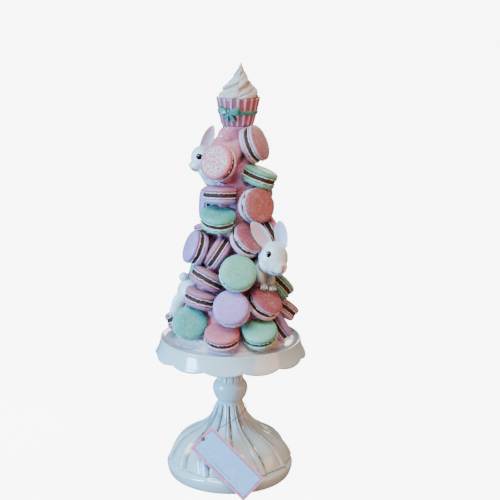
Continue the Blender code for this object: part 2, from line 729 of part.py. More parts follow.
def build_tag():
    half = 0.5 * TAG_WIDTH / MM
    thick = 0.5 * TAG_THICKNESS / MM
    length = TAG_LENGTH / MM
    rings = []
    for level in (-thick, thick):
        rings.append([on_tag(0, -half, level), on_tag(length, -half, level),
                      on_tag(length, half, level), on_tag(0, half, level)])
    card = add_object("hang_tag", skin_rings(rings), "tag")
    front = tag_frame()[3]
    bmesh_hole = bmesh.new()
    bmesh.ops.create_cone(bmesh_hole, segments=12, radius1=TAG_HOLE_RADIUS,
                          radius2=TAG_HOLE_RADIUS, depth=4 * TAG_THICKNESS, cap_ends=True)
    turn = front.to_track_quat("Z", "Y").to_matrix().to_4x4()
    place = Matrix.Translation(on_tag(TAG_HOLE, 0, 0)) @ turn
    bmesh.ops.transform(bmesh_hole, matrix=place, verts=bmesh_hole.verts)
    data = bpy.data.meshes.new("hole")
    bmesh_hole.to_mesh(data)
    bmesh_hole.free()
    hole = bpy.data.objects.new("hole", data)
    bpy.context.scene.collection.objects.link(hole)
    combine(card, [hole], "DIFFERENCE")
    return name_piece(tidy_mesh(card), "hang_tag", "tag")


def string_route():
    """Route of the string, chosen by hand: out of the hole, round the neck and back."""
    behind = [on_tag(9.0, 3.0, -4.0), on_tag(5.2, 1.0, -3.2), on_tag(TAG_HOLE, 0, -1.6)]
    turn = [on_tag(TAG_HOLE - 0.3, 0, 1.0), on_tag(1.6, 0, 2.3), on_tag(-0.4, 0, 2.2),
            on_tag(-1.7, 0, 0.6), on_tag(-1.4, 0.3, -1.6)]
    up_right = [Vector((-22, -49, 63)) * MM, Vector((-9, -36.5, 66.5)) * MM,
                Vector((4, -24.5, 70)) * MM, Vector((13.5, -14, 73.5)) * MM]
    neck = [around(az, 18.2 * MM, z * MM, leaning=False)
            for az, z in ((82, 76), (115, 77), (150, 77.5), (185, 77.5), (220, 77), (255, 76.5))]
    down_left = [Vector((-18.6, -8, 75.5)) * MM, Vector((-20.5, -20, 73.5)) * MM,
                 Vector((-23, -34, 70.5)) * MM, Vector((-26.5, -45, 66)) * MM,
                 on_tag(-1.0, 4.5, -3.4)]
    return behind + turn + up_right + neck + down_left


def smooth_points(route, spacing):
    """Points at an even spacing along the smooth curve through a route."""
    fine = []
    padded = [route[0] * 2 - route[1]] + list(route) + [route[-1] * 2 - route[-2]]
    for a, b, c, d in zip(padded, padded[1:], padded[2:], padded[3:]):
        for step in range(20):
            t = step / 20
            fine.append(0.5 * ((2 * b) + (c - a) * t + (2 * a - 5 * b + 4 * c - d) * t * t
                               + (3 * b - a - 3 * c + d) * t ** 3))
    fine.append(route[-1])
    total = sum((q - p).length for p, q in zip(fine, fine[1:]))
    count = max(2, round(total / spacing))
    points = [fine[0]]
    walked = 0.0
    goal = total / count
    for p, q in zip(fine, fine[1:]):
        step = (q - p).length
        while walked + step >= goal * len(points) and len(points) < count:
            share = (goal * len(points) - walked) / step
            points.append(p.lerp(q, share))
        walked += step
    points.append(fine[-1])
    return points


def build_string():
    points = smooth_points(string_route(), STRING_STEP)
    curve = bpy.data.curves.new("tag_string", "CURVE")
    curve.dimensions = "3D"
    curve.bevel_depth = 0.5 * STRING_DIAMETER
    curve.bevel_resolution = 2
    curve.use_fill_caps = True
    spline = curve.splines.new("POLY")
    spline.points.add(len(points) - 1)
    for slot, point in zip(spline.points, points):
        slot.co = (*point, 1.0)
    item = bpy.data.objects.new("tag_string", curve)
    bpy.context.scene.collection.objects.link(item)
    curve.materials.append(finish("string"))
    return item


def main():
    clear_scene()
    build_stand()
    macarons = lay_out_macarons()
    for index, macaron in enumerate(macarons, start=1):
        build_macaron(macaron, index)
    bulk = RABBIT_LEFT_BULK + RABBIT_RIGHT_BULK + RABBIT_LOW_BULK
    build_core(macarons, rabbit_parts(bulk, 1.2 * GAP))
    build_rabbit("rabbit_left", RABBIT_LEFT, macarons)
    build_rabbit("rabbit_right", RABBIT_RIGHT, macarons)
    build_rabbit("rabbit_low", RABBIT_LOW, macarons)
    build_case()
    build_swirl()
    build_ribbon()
    build_tag()
    build_string()


main()
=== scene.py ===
"""Macaron tower ornament on a footed cake stand, dressed for close viewing.

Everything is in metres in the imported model's own frame: +Z is up, the origin is the
middle of the stand's foot on the table, azimuth 0 is the front (-Y) and grows to +X.
"""
from math import cos, pi, radians, sin, sqrt
import random

import bmesh
import bpy
import numpy as np
from mathutils import Matrix, Vector
from mathutils.bvhtree import BVHTree


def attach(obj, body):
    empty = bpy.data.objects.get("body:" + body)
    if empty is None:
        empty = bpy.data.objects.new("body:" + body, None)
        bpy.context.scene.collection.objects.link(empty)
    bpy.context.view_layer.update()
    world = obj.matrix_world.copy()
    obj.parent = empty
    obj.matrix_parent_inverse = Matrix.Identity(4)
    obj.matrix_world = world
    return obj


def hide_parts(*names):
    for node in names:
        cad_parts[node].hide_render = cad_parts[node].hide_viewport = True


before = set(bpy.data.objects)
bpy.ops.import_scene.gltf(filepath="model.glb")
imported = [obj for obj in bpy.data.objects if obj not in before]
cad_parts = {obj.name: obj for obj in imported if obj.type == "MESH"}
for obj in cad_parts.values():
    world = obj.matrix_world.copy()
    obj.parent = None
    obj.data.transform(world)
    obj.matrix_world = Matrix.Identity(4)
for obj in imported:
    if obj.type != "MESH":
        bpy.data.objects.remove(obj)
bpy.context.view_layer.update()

bl_info = {
    "name": "Macaron tower ornament",
    "version": (1, 0, 0),
    "blender": (4, 5, 0),
    "location": "View3D > Sidebar > Tower",
    "description": "Builds a glazed cake stand with a tower of macarons, rabbits and a cupcake",
    "category": "Add Mesh",
}

MM = 0.001
UP = Vector((0, 0, 1))
PLY_START = Vector((0.3, 0.2, 1.0))  # any direction across the string's start
SECTORS = 12  # scallops round the plate, pleats round the foot
PICTURE_SIDE = 500  # pixels along a side of the picture


def srgb(*swatch):
    """Linear colour of a swatch given in the usual 0 to 255 steps."""
    return tuple(step / 255 / 12.92 if step <= 10 else ((step / 255 + 0.055) / 1.055) ** 2.4
                 for step in swatch)


def colour_choice(name, description, swatch):
    return bpy.props.FloatVectorProperty(name=name, description=description, default=srgb(*swatch),
                                         subtype="COLOR", min=0.0, max=1.0)


def number_choice(name, description, default, **limits):
    return bpy.props.FloatProperty(name=name, description=description, default=default, **limits)


def length_choice(name, description, millimetres):
    return number_choice(name, description, millimetres * MM, min=0.0, unit="LENGTH", precision=5)


def power_choice(name, description, watts):
    return number_choice(name, description, watts, min=0.0, unit="POWER")


def angle_choice(name, description, degrees):
    return number_choice(name, description, radians(degrees), subtype="ANGLE")


# ---- choices in the sidebar
class StageChoices(bpy.types.PropertyGroup):
    floor_colour: colour_choice("Floor", "Colour of the plain floor", (112, 108, 104))
    key_colour: colour_choice("Window light", "Colour of the left light", (150, 210, 255))
    key_power: power_choice("Window power", "Power of the left light", 112)
    fill_colour: colour_choice("Room light", "Colour of the weak right light", (255, 170, 108))
    fill_power: power_choice("Room power", "Power of the weak right light", 23)
    ceiling_power: power_choice("Ceiling power", "Power of the light from above", 36)
    camera_distance: length_choice("Camera distance", "Table middle to the camera, level", 1300)
    camera_height: length_choice("Camera height", "Table to the camera", 569)
    camera_pitch: angle_choice("Camera pitch", "How far the camera looks down", 13.56)
    camera_roll: angle_choice("Camera roll", "How far the camera leans to one side", 0.4)


class StringChoices(bpy.types.PropertyGroup):
    diameter: length_choice("String diameter", "Thickness of the tag's string", 0.9)
    colour: colour_choice("String", "Colour of the tag's string", (126, 134, 142))
    twist: length_choice("Twist", "Length of one turn of the two plies", 3.2)


class TagChoices(bpy.types.PropertyGroup):
    paper: colour_choice("Card", "Colour of the card inside its border", (140, 200, 254))
    border: colour_choice("Border", "Colour of the card's border", (226, 140, 178))
    line: colour_choice("Line", "Colour of the thin printed lines", (66, 70, 92))
    border_width: length_choice("Border width", "Width of the coloured border", 2.3)


class StandChoices(bpy.types.PropertyGroup):
    glaze: colour_choice("Glaze", "Colour of the milk-white glaze", (192, 222, 234))
    # painted shade: the colour that the glaze's grooves, fold lines and hem step are darkened
    # towards
    hollow: colour_choice("Hollows", "Colour that gathers in the grooves", (112, 104, 98))
    groove_depth: length_choice("Groove depth", "Depth of the groove beside each pleat", 0.8)


class IcingChoices(bpy.types.PropertyGroup):
    rose: colour_choice("Icing", "Main colour between the macarons", (200, 116, 140))
    lavender: colour_choice("Icing patches", "Colour of the cooler patches", (192, 140, 186))
    puddle: colour_choice("Low icing", "Colour where it meets the plate", (214, 206, 214))
    gloss: number_choice("Gloss", "Strength of the clear coat on the icing", 0.45,
                         min=0.0, max=1.0, subtype="FACTOR")


class MacaronChoices(bpy.types.PropertyGroup):
    mint: colour_choice("Mint", "Shell colour of the mint macarons", (110, 196, 170))
    violet: colour_choice("Violet", "Shell colour of the violet macarons", (174, 146, 216))
    rose: colour_choice("Rose", "Shell colour of the rose macarons", (206, 116, 138))
    coral: colour_choice("Coral", "Top colour of the coral macarons", (158, 80, 98))
    # frost: pale paint on the ruffle crests that also serves as a painted highlight
    frost: colour_choice("Frost", "Colour brushed on the ruffled feet", (240, 242, 248))
    filling: colour_choice("Filling", "Colour of the filling", (56, 30, 20))
    ruffle: length_choice("Ruffle", "How far the ruffled foot waves in and out", 0.7)


class RabbitChoices(bpy.types.PropertyGroup):
    fur: colour_choice("Rabbit", "Colour of the rabbits", (204, 238, 250))
    ear: colour_choice("Inner ear", "Colour inside the ears", (202, 196, 228))
    blush: colour_choice("Blush", "Colour on the cheeks", (236, 166, 168))
    nose: colour_choice("Nose", "Colour of the button nose", (222, 132, 100))
    eye: colour_choice("Eye", "Colour of the eyes", (14, 14, 16))


class CupcakeChoices(bpy.types.PropertyGroup):
    # the case's pink, lighter on the ribs as a painted highlight and darker in the troughs as
    # painted shade
    rib: colour_choice("Case ribs", "Colour on the raised ribs", (214, 154, 176))
    trough_shaded: colour_choice("Case troughs", "Colour between the ribs", (142, 88, 108))
    icing: colour_choice("Swirl", "Colour of the sugared swirl", (236, 244, 246))
    shade: colour_choice("Swirl folds", "Colour down in the folds", (172, 150, 118))
    ribbon: colour_choice("Ribbon", "Colour of the ribbon and its bow", (34, 126, 122))


# ---- shader parts
def feed(tree, socket, value):
    """Link a socket or set its constant; a colour gets its full alpha."""
    if isinstance(value, bpy.types.NodeSocket):
        tree.links.new(value, socket)
    elif socket.type == "RGBA":
        socket.default_value = (*value, 1.0)
    else:
        socket.default_value = value


def shader_node(tree, kind, inputs=(), **settings):
    """Add a node, set its options and feed its inputs."""
    node = tree.nodes.new(kind)
    for key, value in settings.items():
        setattr(node, key, value)
    for key, value in dict(inputs).items():
        feed(tree, node.inputs[key], value)
    return node


def math_node(tree, operation, first, second):
    node = shader_node(tree, "ShaderNodeMath", {0: first, 1: second}, operation=operation)
    return node.outputs[0]


def spread(tree, value, low, high):
    """Remap a value so that low becomes 0 and high becomes 1, with soft ends."""
    node = shader_node(tree, "ShaderNodeMapRange",
                       {"Value": value, "From Min": low, "From Max": high},
                       interpolation_type="SMOOTHSTEP")
    return node.outputs["Result"]


def mix_colours(tree, share, first, second, blend="MIX"):
    node = shader_node(tree, "ShaderNodeMix", data_type="RGBA", blend_type=blend)
    colours = [socket for socket in node.inputs if socket.type == "RGBA"]
    for socket, value in zip((node.inputs[0], *colours), (share, first, second)):
        feed(tree, socket, value)
    return next(socket for socket in node.outputs if socket.type == "RGBA")


def noise_node(tree, place, scale, detail, roughness=0.5, distortion=0.0):
    node = shader_node(tree, "ShaderNodeTexNoise",
                       {"Vector": place, "Scale": scale, "Detail": detail,
                        "Roughness": roughness, "Distortion": distortion})
    return node.outputs["Fac"]


def fill_flecks(group, given):
    """Scattered round flecks: a share of small cells gets one fleck each."""
    rate = math_node(group, "DIVIDE", 1.0, given["Fleck spacing"])
    cells = shader_node(group, "ShaderNodeTexVoronoi",
                        {"Vector": given["Place"], "Scale": rate, "Randomness": 0.9})
    chance = shader_node(group, "ShaderNodeSeparateColor", {"Color": cells.outputs["Color"]})
    chosen = math_node(group, "LESS_THAN", chance.outputs["Red"], given["Share"])
    inner = math_node(group, "MULTIPLY", given["Fleck size"], 0.55)
    fade = spread(group, cells.outputs["Distance"], given["Fleck size"], inner)
    return {"Mask": math_node(group, "MULTIPLY", chosen, fade)}


def fill_patches(group, given):
    """Soft hand-painted patches between two colours."""
    rate = math_node(group, "DIVIDE", 1.0, given["Patch width"])
    cloud = noise_node(group, given["Place"], rate, 3.0, 0.55, 0.4)
    threshold = math_node(group, "SUBTRACT", 1.0, given["Cover"])
    low = math_node(group, "SUBTRACT", threshold, 0.16)
    high = math_node(group, "ADD", threshold, 0.16)
    mask = spread(group, cloud, low, high)
    return {"Colour": mix_colours(group, mask, given["Colour"], given["Patch colour"]),
            "Mask": mask}


def fill_crumb(group, given):
    """Fine crumb: two sizes of noise added up as a height."""
    rate = math_node(group, "DIVIDE", 1.0, given["Crumb width"])
    coarse = noise_node(group, given["Place"], rate, 2.0, 0.6)
    fine_rate = math_node(group, "MULTIPLY", rate, 3.1)
    fine = shader_node(group, "ShaderNodeTexVoronoi",
                       {"Vector": given["Place"], "Scale": fine_rate, "Randomness": 1.0})
    part = math_node(group, "MULTIPLY", fine.outputs["Distance"], 0.45)
    return {"Height": math_node(group, "ADD", coarse, part)}


STREAK_SCALE = 520.0


def fill_brush(group, given):
    """Pale paint dragged over raised places, partly a painted highlight: the relief stored on the
    mesh, broken up a little.
    """
    streaks = noise_node(group, given["Place"], STREAK_SCALE, 2.0, 0.6)
    off_middle = math_node(group, "SUBTRACT", streaks, 0.5)
    wobble = math_node(group, "MULTIPLY", off_middle, 0.9)
    raised = math_node(group, "ADD", given["Relief"], wobble)
    low = math_node(group, "SUBTRACT", 1.0, given["Reach"])
    high = math_node(group, "ADD", low, 0.3)
    return {"Mask": spread(group, raised, low, high)}


# node groups that the finishes share: inputs with their defaults, and what fills the group
WHITE = (1, 1, 1, 1)
GROUPS = {
    "Sugar flecks": ({"Fleck spacing": 0.001, "Share": 0.2, "Fleck size": 0.35}, fill_flecks),
    "Brushed patches": ({"Colour": WHITE, "Patch colour": WHITE, "Patch width": 0.01,
                         "Cover": 0.5}, fill_patches),
    "Fine crumb": ({"Crumb width": 0.001}, fill_crumb),
    "Dry brush": ({"Relief": 0.0, "Reach": 0.5}, fill_brush),
}


def shared_group(name):
    """Node group of this name, made and filled on its first use."""
    group = bpy.data.node_groups.get(name)
    if group:
        return group
    inputs, fill = GROUPS[name]
    group = bpy.data.node_groups.new(name, "ShaderNodeTree")
    sockets = group.interface
    sockets.new_socket("Place", in_out="INPUT", socket_type="NodeSocketVector")
    for label, default in inputs.items():
        kind = "NodeSocketColor" if default is WHITE else "NodeSocketFloat"
        sockets.new_socket(label, in_out="INPUT", socket_type=kind).default_value = default
    results = fill(group, group.nodes.new("NodeGroupInput").outputs)
    for label in results:
        kind = "NodeSocketColor" if label == "Colour" else "NodeSocketFloat"
        sockets.new_socket(label, in_out="OUTPUT", socket_type=kind)
    sink = group.nodes.new("NodeGroupOutput")
    for label, value in results.items():
        group.links.new(value, sink.inputs[label])
    return group


class Finish:
    """One material: its Principled shader and the nodes that feed it."""

    def __init__(self, name, **constants):
        self.material = bpy.data.materials.new(name)
        self.material.use_nodes = True
        self.tree = self.material.node_tree
        self.shader = self.tree.nodes["Principled BSDF"]
        for key, value in constants.items():
            self.shader.inputs[key.replace("_", " ").title()].default_value = value
        self.place = shader_node(self.tree, "ShaderNodeTexCoord").outputs["Object"]

    def stored(self, label):
        """Value that the mesh stores at each of its points."""
        return shader_node(self.tree, "ShaderNodeAttribute", attribute_name=label).outputs["Fac"]

    def use(self, name, *values):
        """Outputs of a shared node group that gets the place on the piece and these values."""
        inputs = dict(zip(GROUPS[name][0], values), Place=self.place)
        return shader_node(self.tree, "ShaderNodeGroup", inputs,
                           node_tree=shared_group(name)).outputs

    def patches(self, colour, patch, width, cover):
        return self.use("Brushed patches", colour, patch, width, cover)

    def flecks(self, spacing, share, size):
        return self.use("Sugar flecks", spacing, share, size)["Mask"]

    def crumb(self, width):
        return self.use("Fine crumb", width)["Height"]

    def brushed(self, relief, reach):
        return self.use("Dry brush", relief, reach)["Mask"]

    def times(self, first, second):
        return math_node(self.tree, "MULTIPLY", first, second)

    def spread(self, value, low, high):
        return spread(self.tree, value, low, high)

    def mix(self, share, first, second, blend="MIX"):
        return mix_colours(self.tree, share, first, second, blend)

    def noise(self, width, detail):
        return noise_node(self.tree, self.place, 1.0 / width, detail)

    def colour(self, value):
        feed(self.tree, self.shader.inputs["Base Color"], value)

    def roughness(self, value, low, high):
        """Roughness that follows a 0 to 1 value between two limits."""
        node = shader_node(self.tree, "ShaderNodeMapRange",
                           {"Value": value, "To Min": low, "To Max": high})
        self.tree.links.new(node.outputs["Result"], self.shader.inputs["Roughness"])

    def bump(self, height, depth, strength):
        node = shader_node(self.tree, "ShaderNodeBump",
                           {"Height": height, "Distance": depth, "Strength": strength})
        self.tree.links.new(node.outputs["Normal"], self.shader.inputs["Normal"])

    def painted(self, colour, patch, width, cover, rough, relief):
        """Plain paint: patches that are rougher than the rest, over a fine crumb."""
        tone = self.patches(colour, patch, width, cover)
        self.colour(tone["Colour"])
        self.roughness(tone["Mask"], *rough)
        crumb_width, depth, strength = relief
        self.bump(self.crumb(crumb_width), depth, strength)
        return self.material


# ---- mesh helpers
def around(azimuth, radius, height):
    """Point at an azimuth in degrees and a radius round the upright axis."""
    turn = radians(azimuth)
    return Vector((radius * sin(turn), -radius * cos(turn), height))


def evenly(count):
    """Azimuths in degrees of a full turn in equal steps."""
    return np.arange(count) * (360.0 / count)


def level_ring(azimuths, radius, height):
    """Points round the upright axis; radius and height may change along the ring."""
    turn = np.radians(azimuths)
    rows = np.broadcast_arrays(radius * np.sin(turn), -radius * np.cos(turn), height)
    return np.stack(rows, axis=1)


def sheet_faces(rows, columns):
    """Faces of a closed solid between two equal sheets of points, row after row."""
    size = rows * columns
    faces = []
    for i in range(rows - 1):
        for j in range(columns - 1):
            a = i * columns + j
            quad = (a, a + 1, a + columns + 1, a + columns)
            faces.append(quad)
            faces.append(tuple(size + k for k in reversed(quad)))
    rim = list(range(columns - 1))
    rim += [i * columns + columns - 1 for i in range(rows - 1)]
    rim += [(rows - 1) * columns + j for j in range(columns - 1, 0, -1)]
    rim += [i * columns for i in range(rows - 1, 0, -1)]
    for a, b in zip(rim, rim[1:] + rim[:1]):
        faces.append((a, size + a, size + b, b))
    return faces


def ring_quads(rings, count):
    """Quads between neighbouring rings of a turned surface that runs upwards."""
    lower = np.arange(rings - 1)[:, None] * count
    here = np.arange(count)[None, :]
    there = (here + 1) % count
    corners = (lower + here, lower + there, lower + count + there, lower + count + here)
    return [tuple(quad) for quad in np.stack(corners, axis=-1).reshape(-1, 4).tolist()]


def torus_quads(rings, count):
    """Quads over rings of which the last one meets the first."""
    total = rings * count
    return [tuple(corner % total for corner in quad) for quad in ring_quads(rings + 1, count)]


def turned(rings, bottom, top=None):
    """Points and faces of a surface over equal rings, with poles that close its ends."""
    rings = np.asarray(rings)
    count = rings.shape[1]
    points = [tuple(p) for p in rings.reshape(-1, 3).tolist()]
    faces = ring_quads(len(rings), count)
    pole = len(points)
    points.append(tuple(bottom))
    faces += [((i + 1) % count, i, pole) for i in range(count)]
    if top is not None:
        first = pole - count
        points.append(tuple(top))
        faces += [(first + i, first + (i + 1) % count, pole + 1) for i in range(count)]
    return points, faces


def new_item(name, data):
    """Object of the scene that shows a mesh, a lamp or a camera."""
    item = bpy.data.objects.new(name, data)
    bpy.context.scene.collection.objects.link(item)
    return item


def new_mesh(name, points, faces):
    mesh = bpy.data.meshes.new(name)
    mesh.from_pydata(points, [], faces)
    return mesh


def after_modifiers(item):
    """Mesh of an object as its modifiers leave it."""
    graph = bpy.context.evaluated_depsgraph_get()
    return bpy.data.meshes.new_from_object(item.evaluated_get(graph))


def join_model(item, slot, replaces=()):
    """Let a piece ride on the model and hide the solids it stands for; the slot is not used."""
    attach(item, "root")
    if replaces:
        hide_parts(*replaces)


def make_piece(name, points, faces, *dress, **more_dress):
    """Mesh object from points and faces, dressed as dress_mesh says."""
    mesh = new_mesh(name, [tuple(p) for p in points], faces)
    mesh.validate()
    return dress_mesh(name, mesh, *dress, **more_dress)


def dress_mesh(name, mesh, materials, slot, replaces=(), choose=None, stored=None, sharp=None):
    """Give a mesh its materials and stored values, and let it ride on the model."""
    for material in materials:
        mesh.materials.append(material)
    if choose is not None:
        mesh.polygons.foreach_set("material_index", np.asarray(choose, dtype=np.int32))
    for label, values in (stored or {}).items():
        layer = mesh.attributes.new(label, "FLOAT", "POINT")
        layer.data.foreach_set("value", np.asarray(values, dtype=np.float32))
    mesh.shade_smooth()
    if sharp:
        mesh.set_sharp_from_angle(angle=radians(sharp))
    mesh.update()
    item = new_item(name, mesh)
    join_model(item, slot, replaces)
    return item


def mesh_rows(mesh, key):
    """Three numbers for each point of a mesh: its co or its normal."""
    rows = np.zeros(len(mesh.vertices) * 3)
    mesh.vertices.foreach_get(key, rows)
    return rows.reshape(-1, 3)


def mesh_shape(mesh):
    """Points and faces of a mesh."""
    return ([tuple(p) for p in mesh_rows(mesh, "co")],
            [tuple(face.vertices) for face in mesh.polygons])


def smooth_step(value, low, high):
    share = np.clip((np.asarray(value) - low) / (high - low), 0.0, 1.0)
    return share * share * (3.0 - 2.0 * share)


def curve_through(stations, steps):
    """Smooth rows of numbers through given rows, a few steps between each two."""
    rows = np.asarray(stations, dtype=float)
    padded = np.vstack((2 * rows[0] - rows[1], rows, 2 * rows[-1] - rows[-2]))
    out = []
    for a, b, c, d in zip(padded, padded[1:], padded[2:], padded[3:]):
        for step in range(steps):
            t = step / steps
            out.append(0.5 * (2 * b + (c - a) * t + (2 * a - 5 * b + 4 * c - d) * t * t
                              + (3 * b - a - 3 * c + d) * t ** 3))
    out.append(rows[-1])
    return np.array(out)


def lumps(points, width, seed, octaves=3):
    """Smooth lumpy noise between about -1 and 1, from a few seeded plane waves."""
    chance = np.random.default_rng(seed)
    total = np.zeros(len(points))
    weight = 1.0
    for _ in range(octaves):
        for _ in range(6):
            way = chance.normal(size=3)
            way /= np.linalg.norm(way)
            wave = 2 * pi / (width * chance.uniform(0.7, 1.4))
            total += weight * np.sin(points @ way * wave + chance.uniform(0, 2 * pi))
        width *= 0.5
        weight *= 0.5
    return total / 5.0


def ball(centre, radii, axis=(0, 0, 1), front=(0, -1, 0), sides=28, rings=18):
    """Ellipsoid whose third radius lies along an axis and its second towards the front."""
    long = Vector(axis).normalized()
    side = Vector(front).cross(long).normalized()
    thin = long.cross(side)
    turn = Matrix((side, thin, long)).transposed().to_4x4()
    place = Matrix.Translation(Vector(centre)) @ turn @ Matrix.Diagonal((*radii, 1.0))
    shape = bmesh.new()
    bmesh.ops.create_uvsphere(shape, u_segments=sides, v_segments=rings, radius=1.0)
    bmesh.ops.transform(shape, matrix=place, verts=shape.verts)
    points = [tuple(v.co) for v in shape.verts]
    faces = [tuple(v.index for v in f.verts) for f in shape.faces]
    shape.free()
    return points, faces


def ball_mm(centre, radii, axis=(0, 0, 1), front=(0, -1, 0)):
    return ball([c * MM for c in centre], [r * MM for r in radii], axis, front)


def join_shapes(shapes):
    points = []
    faces = []
    for some_points, some_faces in shapes:
        start = len(points)
        points += list(some_points)
        faces += [tuple(start + i for i in face) for face in some_faces]
    return points, faces


def melt(name, shapes, voxel, rounds):
    """Melt overlapping closed shapes into one even skin and smooth it."""
    item = new_item(name + "_raw", new_mesh(name, *join_shapes(shapes)))
    skin = item.modifiers.new("skin", "REMESH")
    skin.mode = "VOXEL"
    skin.voxel_size = voxel
    soft = item.modifiers.new("soft", "SMOOTH")
    soft.factor = 0.5
    soft.iterations = rounds
    result = after_modifiers(item)
    raw = item.data
    bpy.data.objects.remove(item, do_unlink=True)
    bpy.data.meshes.remove(raw)
    result.name = name
    return result


def tube(path, radius, sides, taper=None, twist=None):
    """Closed tube along a path; taper scales its rings, and twist winds it as two plies."""
    path = [Vector(p) for p in path]
    rings = []
    normal = None
    walked = 0.0
    for i, point in enumerate(path):
        behind = path[max(i - 1, 0)]
        walked += (point - behind).length
        tangent = (path[min(i + 1, len(path) - 1)] - behind).normalized()
        if normal is None:
            normal = tangent.cross(PLY_START) if twist else tangent.orthogonal()
        normal = (normal - normal.dot(tangent) * tangent).normalized()
        side = tangent.cross(normal)
        ring = []
        for turn in np.radians(evenly(sides)).tolist():
            reach = radius * (taper[i] if taper else 1.0)
            if twist:
                reach *= 0.86 + 0.14 * abs(cos(turn - 2 * pi * walked / twist))
            ring.append(tuple(point + reach * (cos(turn) * side + sin(turn) * normal)))
        rings.append(ring)
    return turned(rings, path[0], path[-1])


def fix_normals(item):
    """Turn every face of a closed mesh outwards."""
    shape = bmesh.new()
    shape.from_mesh(item.data)
    bmesh.ops.recalc_face_normals(shape, faces=shape.faces)
    shape.to_mesh(item.data)
    shape.free()
    return item


# ---- the stage
def camera_axes(stage):
    """Position and the right, up and forward directions of the camera."""
    pitch = stage.camera_pitch
    roll = stage.camera_roll
    forward = Vector((0, cos(pitch), -sin(pitch)))
    level_up = Vector((0, sin(pitch), cos(pitch)))
    level_right = Vector((1, 0, 0))
    right = cos(roll) * level_right + sin(roll) * level_up
    up = -sin(roll) * level_right + cos(roll) * level_up
    return Vector((0, -stage.camera_distance, stage.camera_height)), right, up, forward


FOCAL_PIXELS = 1239.3  # focal length in pixels of the picture
SENSOR = 36.0
CENTRE_PIXEL = (231.2, 250.0)  # where the camera's axis meets the picture


def pixel_ray(stage, pixel):
    """Start and direction of the line of sight through a pixel of the picture."""
    origin, right, up, forward = camera_axes(stage)
    across = (pixel[0] - CENTRE_PIXEL[0]) / FOCAL_PIXELS
    down = (pixel[1] - CENTRE_PIXEL[1]) / FOCAL_PIXELS
    return origin, (forward + across * right - down * up).normalized()


def soft_box(name, place, target_height, size, colour, power):
    """Rectangular soft light that looks at a point on the tower's axis."""
    lamp = bpy.data.lights.new(name, "AREA")
    lamp.shape = "RECTANGLE"
    lamp.size, lamp.size_y = size
    lamp.color = colour
    lamp.energy = power
    item = new_item(name, lamp)
    item.location = place
    look = Vector((0, 0, target_height)) - Vector(place)
    item.rotation_euler = look.to_track_quat("-Z", "Y").to_euler()


WARM_AIR = (1.0, 0.88, 0.76)
CEILING_WHITE = (1.0, 0.92, 0.84)
BACK_POWER = 24.0
ROOM_STRENGTH = 0.08
BACKDROP_STRENGTH = 7.9  # added where the camera looks straight at it
FLOOR_GLOW = 8.0
# name, place, height on the tower's axis that it looks at, and size, in metres
LIGHTS = (("window_light", (-1.8, -0.95, 0.62), 0.2, (0.6, 0.9)),
          ("room_light", (1.5, -0.9, 0.5), 0.2, (1.3, 1.0)),
          ("ceiling_light", (-0.35, -1.0, 1.7), 0.25, (0.9, 0.6)),
          ("back_light", (0.5, 1.6, 1.1), 0.25, (0.9, 0.8)))
FLOOR_HEIGHT = -0.0002  # metres, a hair below the table so that nothing flickers
FLOOR_RADII = (0.3, 1.0, 3.0, 9.0, 40.0)


class TOWER_OT_stage(bpy.types.Operator):
    """Set the camera, the plain floor and the soft lights"""
    bl_idname = "tower.stage"
    bl_label = "Stage"

    def execute(self, context):
        stage = context.scene.tower_stage
        place, right, up, forward = camera_axes(stage)
        lens = bpy.data.cameras.new("camera")
        lens.sensor_width = SENSOR
        lens.lens = FOCAL_PIXELS * SENSOR / PICTURE_SIDE
        lens.shift_x = (0.5 * PICTURE_SIDE - CENTRE_PIXEL[0]) / PICTURE_SIDE
        lens.clip_end = 100.0
        camera = new_item("camera", lens)
        view = Matrix((right, up, -forward)).transposed().to_4x4()
        view.translation = place
        camera.matrix_world = view
        context.scene.camera = camera

        glows = ((stage.key_colour, stage.key_power), (stage.fill_colour, stage.fill_power),
                 (CEILING_WHITE, stage.ceiling_power), (WARM_AIR, BACK_POWER))
        for light, glow in zip(LIGHTS, glows):
            soft_box(*light, *glow)
        self.light_room(context)
        self.lay_floor(stage)
        return {"FINISHED"}

    def light_room(self, context):
        room = bpy.data.worlds.new("room")
        room.use_nodes = True
        tree = room.node_tree
        air = tree.nodes["Background"]
        # dim and warm for the ornament, pale where the camera looks past the floor
        seen = shader_node(tree, "ShaderNodeLightPath").outputs["Is Camera Ray"]
        feed(tree, air.inputs["Color"], mix_colours(tree, seen, WARM_AIR, (1.0, 1.0, 1.0)))
        backdrop = math_node(tree, "MULTIPLY", seen, BACKDROP_STRENGTH)
        feed(tree, air.inputs["Strength"], math_node(tree, "ADD", backdrop, ROOM_STRENGTH))
        context.scene.world = room

    def lay_floor(self, stage):
        rings = [level_ring(evenly(64), radius, FLOOR_HEIGHT) for radius in FLOOR_RADII]
        points, faces = turned(rings, (0.0, 0.0, FLOOR_HEIGHT))
        mesh = new_mesh("floor", points, [tuple(reversed(face)) for face in faces])
        paint = Finish("floor_paint", roughness=0.85, emission_strength=FLOOR_GLOW)
        tone = paint.patches(stage.floor_colour, (0.45, 0.45, 0.45), 0.6, 0.4)
        paint.colour(tone["Colour"])
        paint.bump(paint.crumb(0.004), 0.0001, 0.2)
        # the backdrop looks lit to the camera and adds no light to the ornament
        seen = shader_node(paint.tree, "ShaderNodeLightPath").outputs["Is Camera Ray"]
        paint.tree.links.new(paint.mix(seen, (0.0, 0.0, 0.0), (1.0, 1.0, 1.0)),
                             paint.shader.inputs["Emission Color"])
        mesh.materials.append(paint.material)
        floor = new_item("floor", mesh)


# ---- hang tag and string
TAG_LENGTH = 79.5  # mm
TAG_WIDTH = 32.5
TAG_THICKNESS = 0.7
TAG_LEAN = 23.5  # degrees the card leans back on the foot
TAG_TURN = 44.0  # degrees its long side slopes down to the right
TAG_CORNER = Vector((14.8, -81.2, 0.4)) * MM
TAG_HOLE = 2.9  # mm from the short edge to the middle of the hole
TAG_HOLE_RADIUS = 1.6
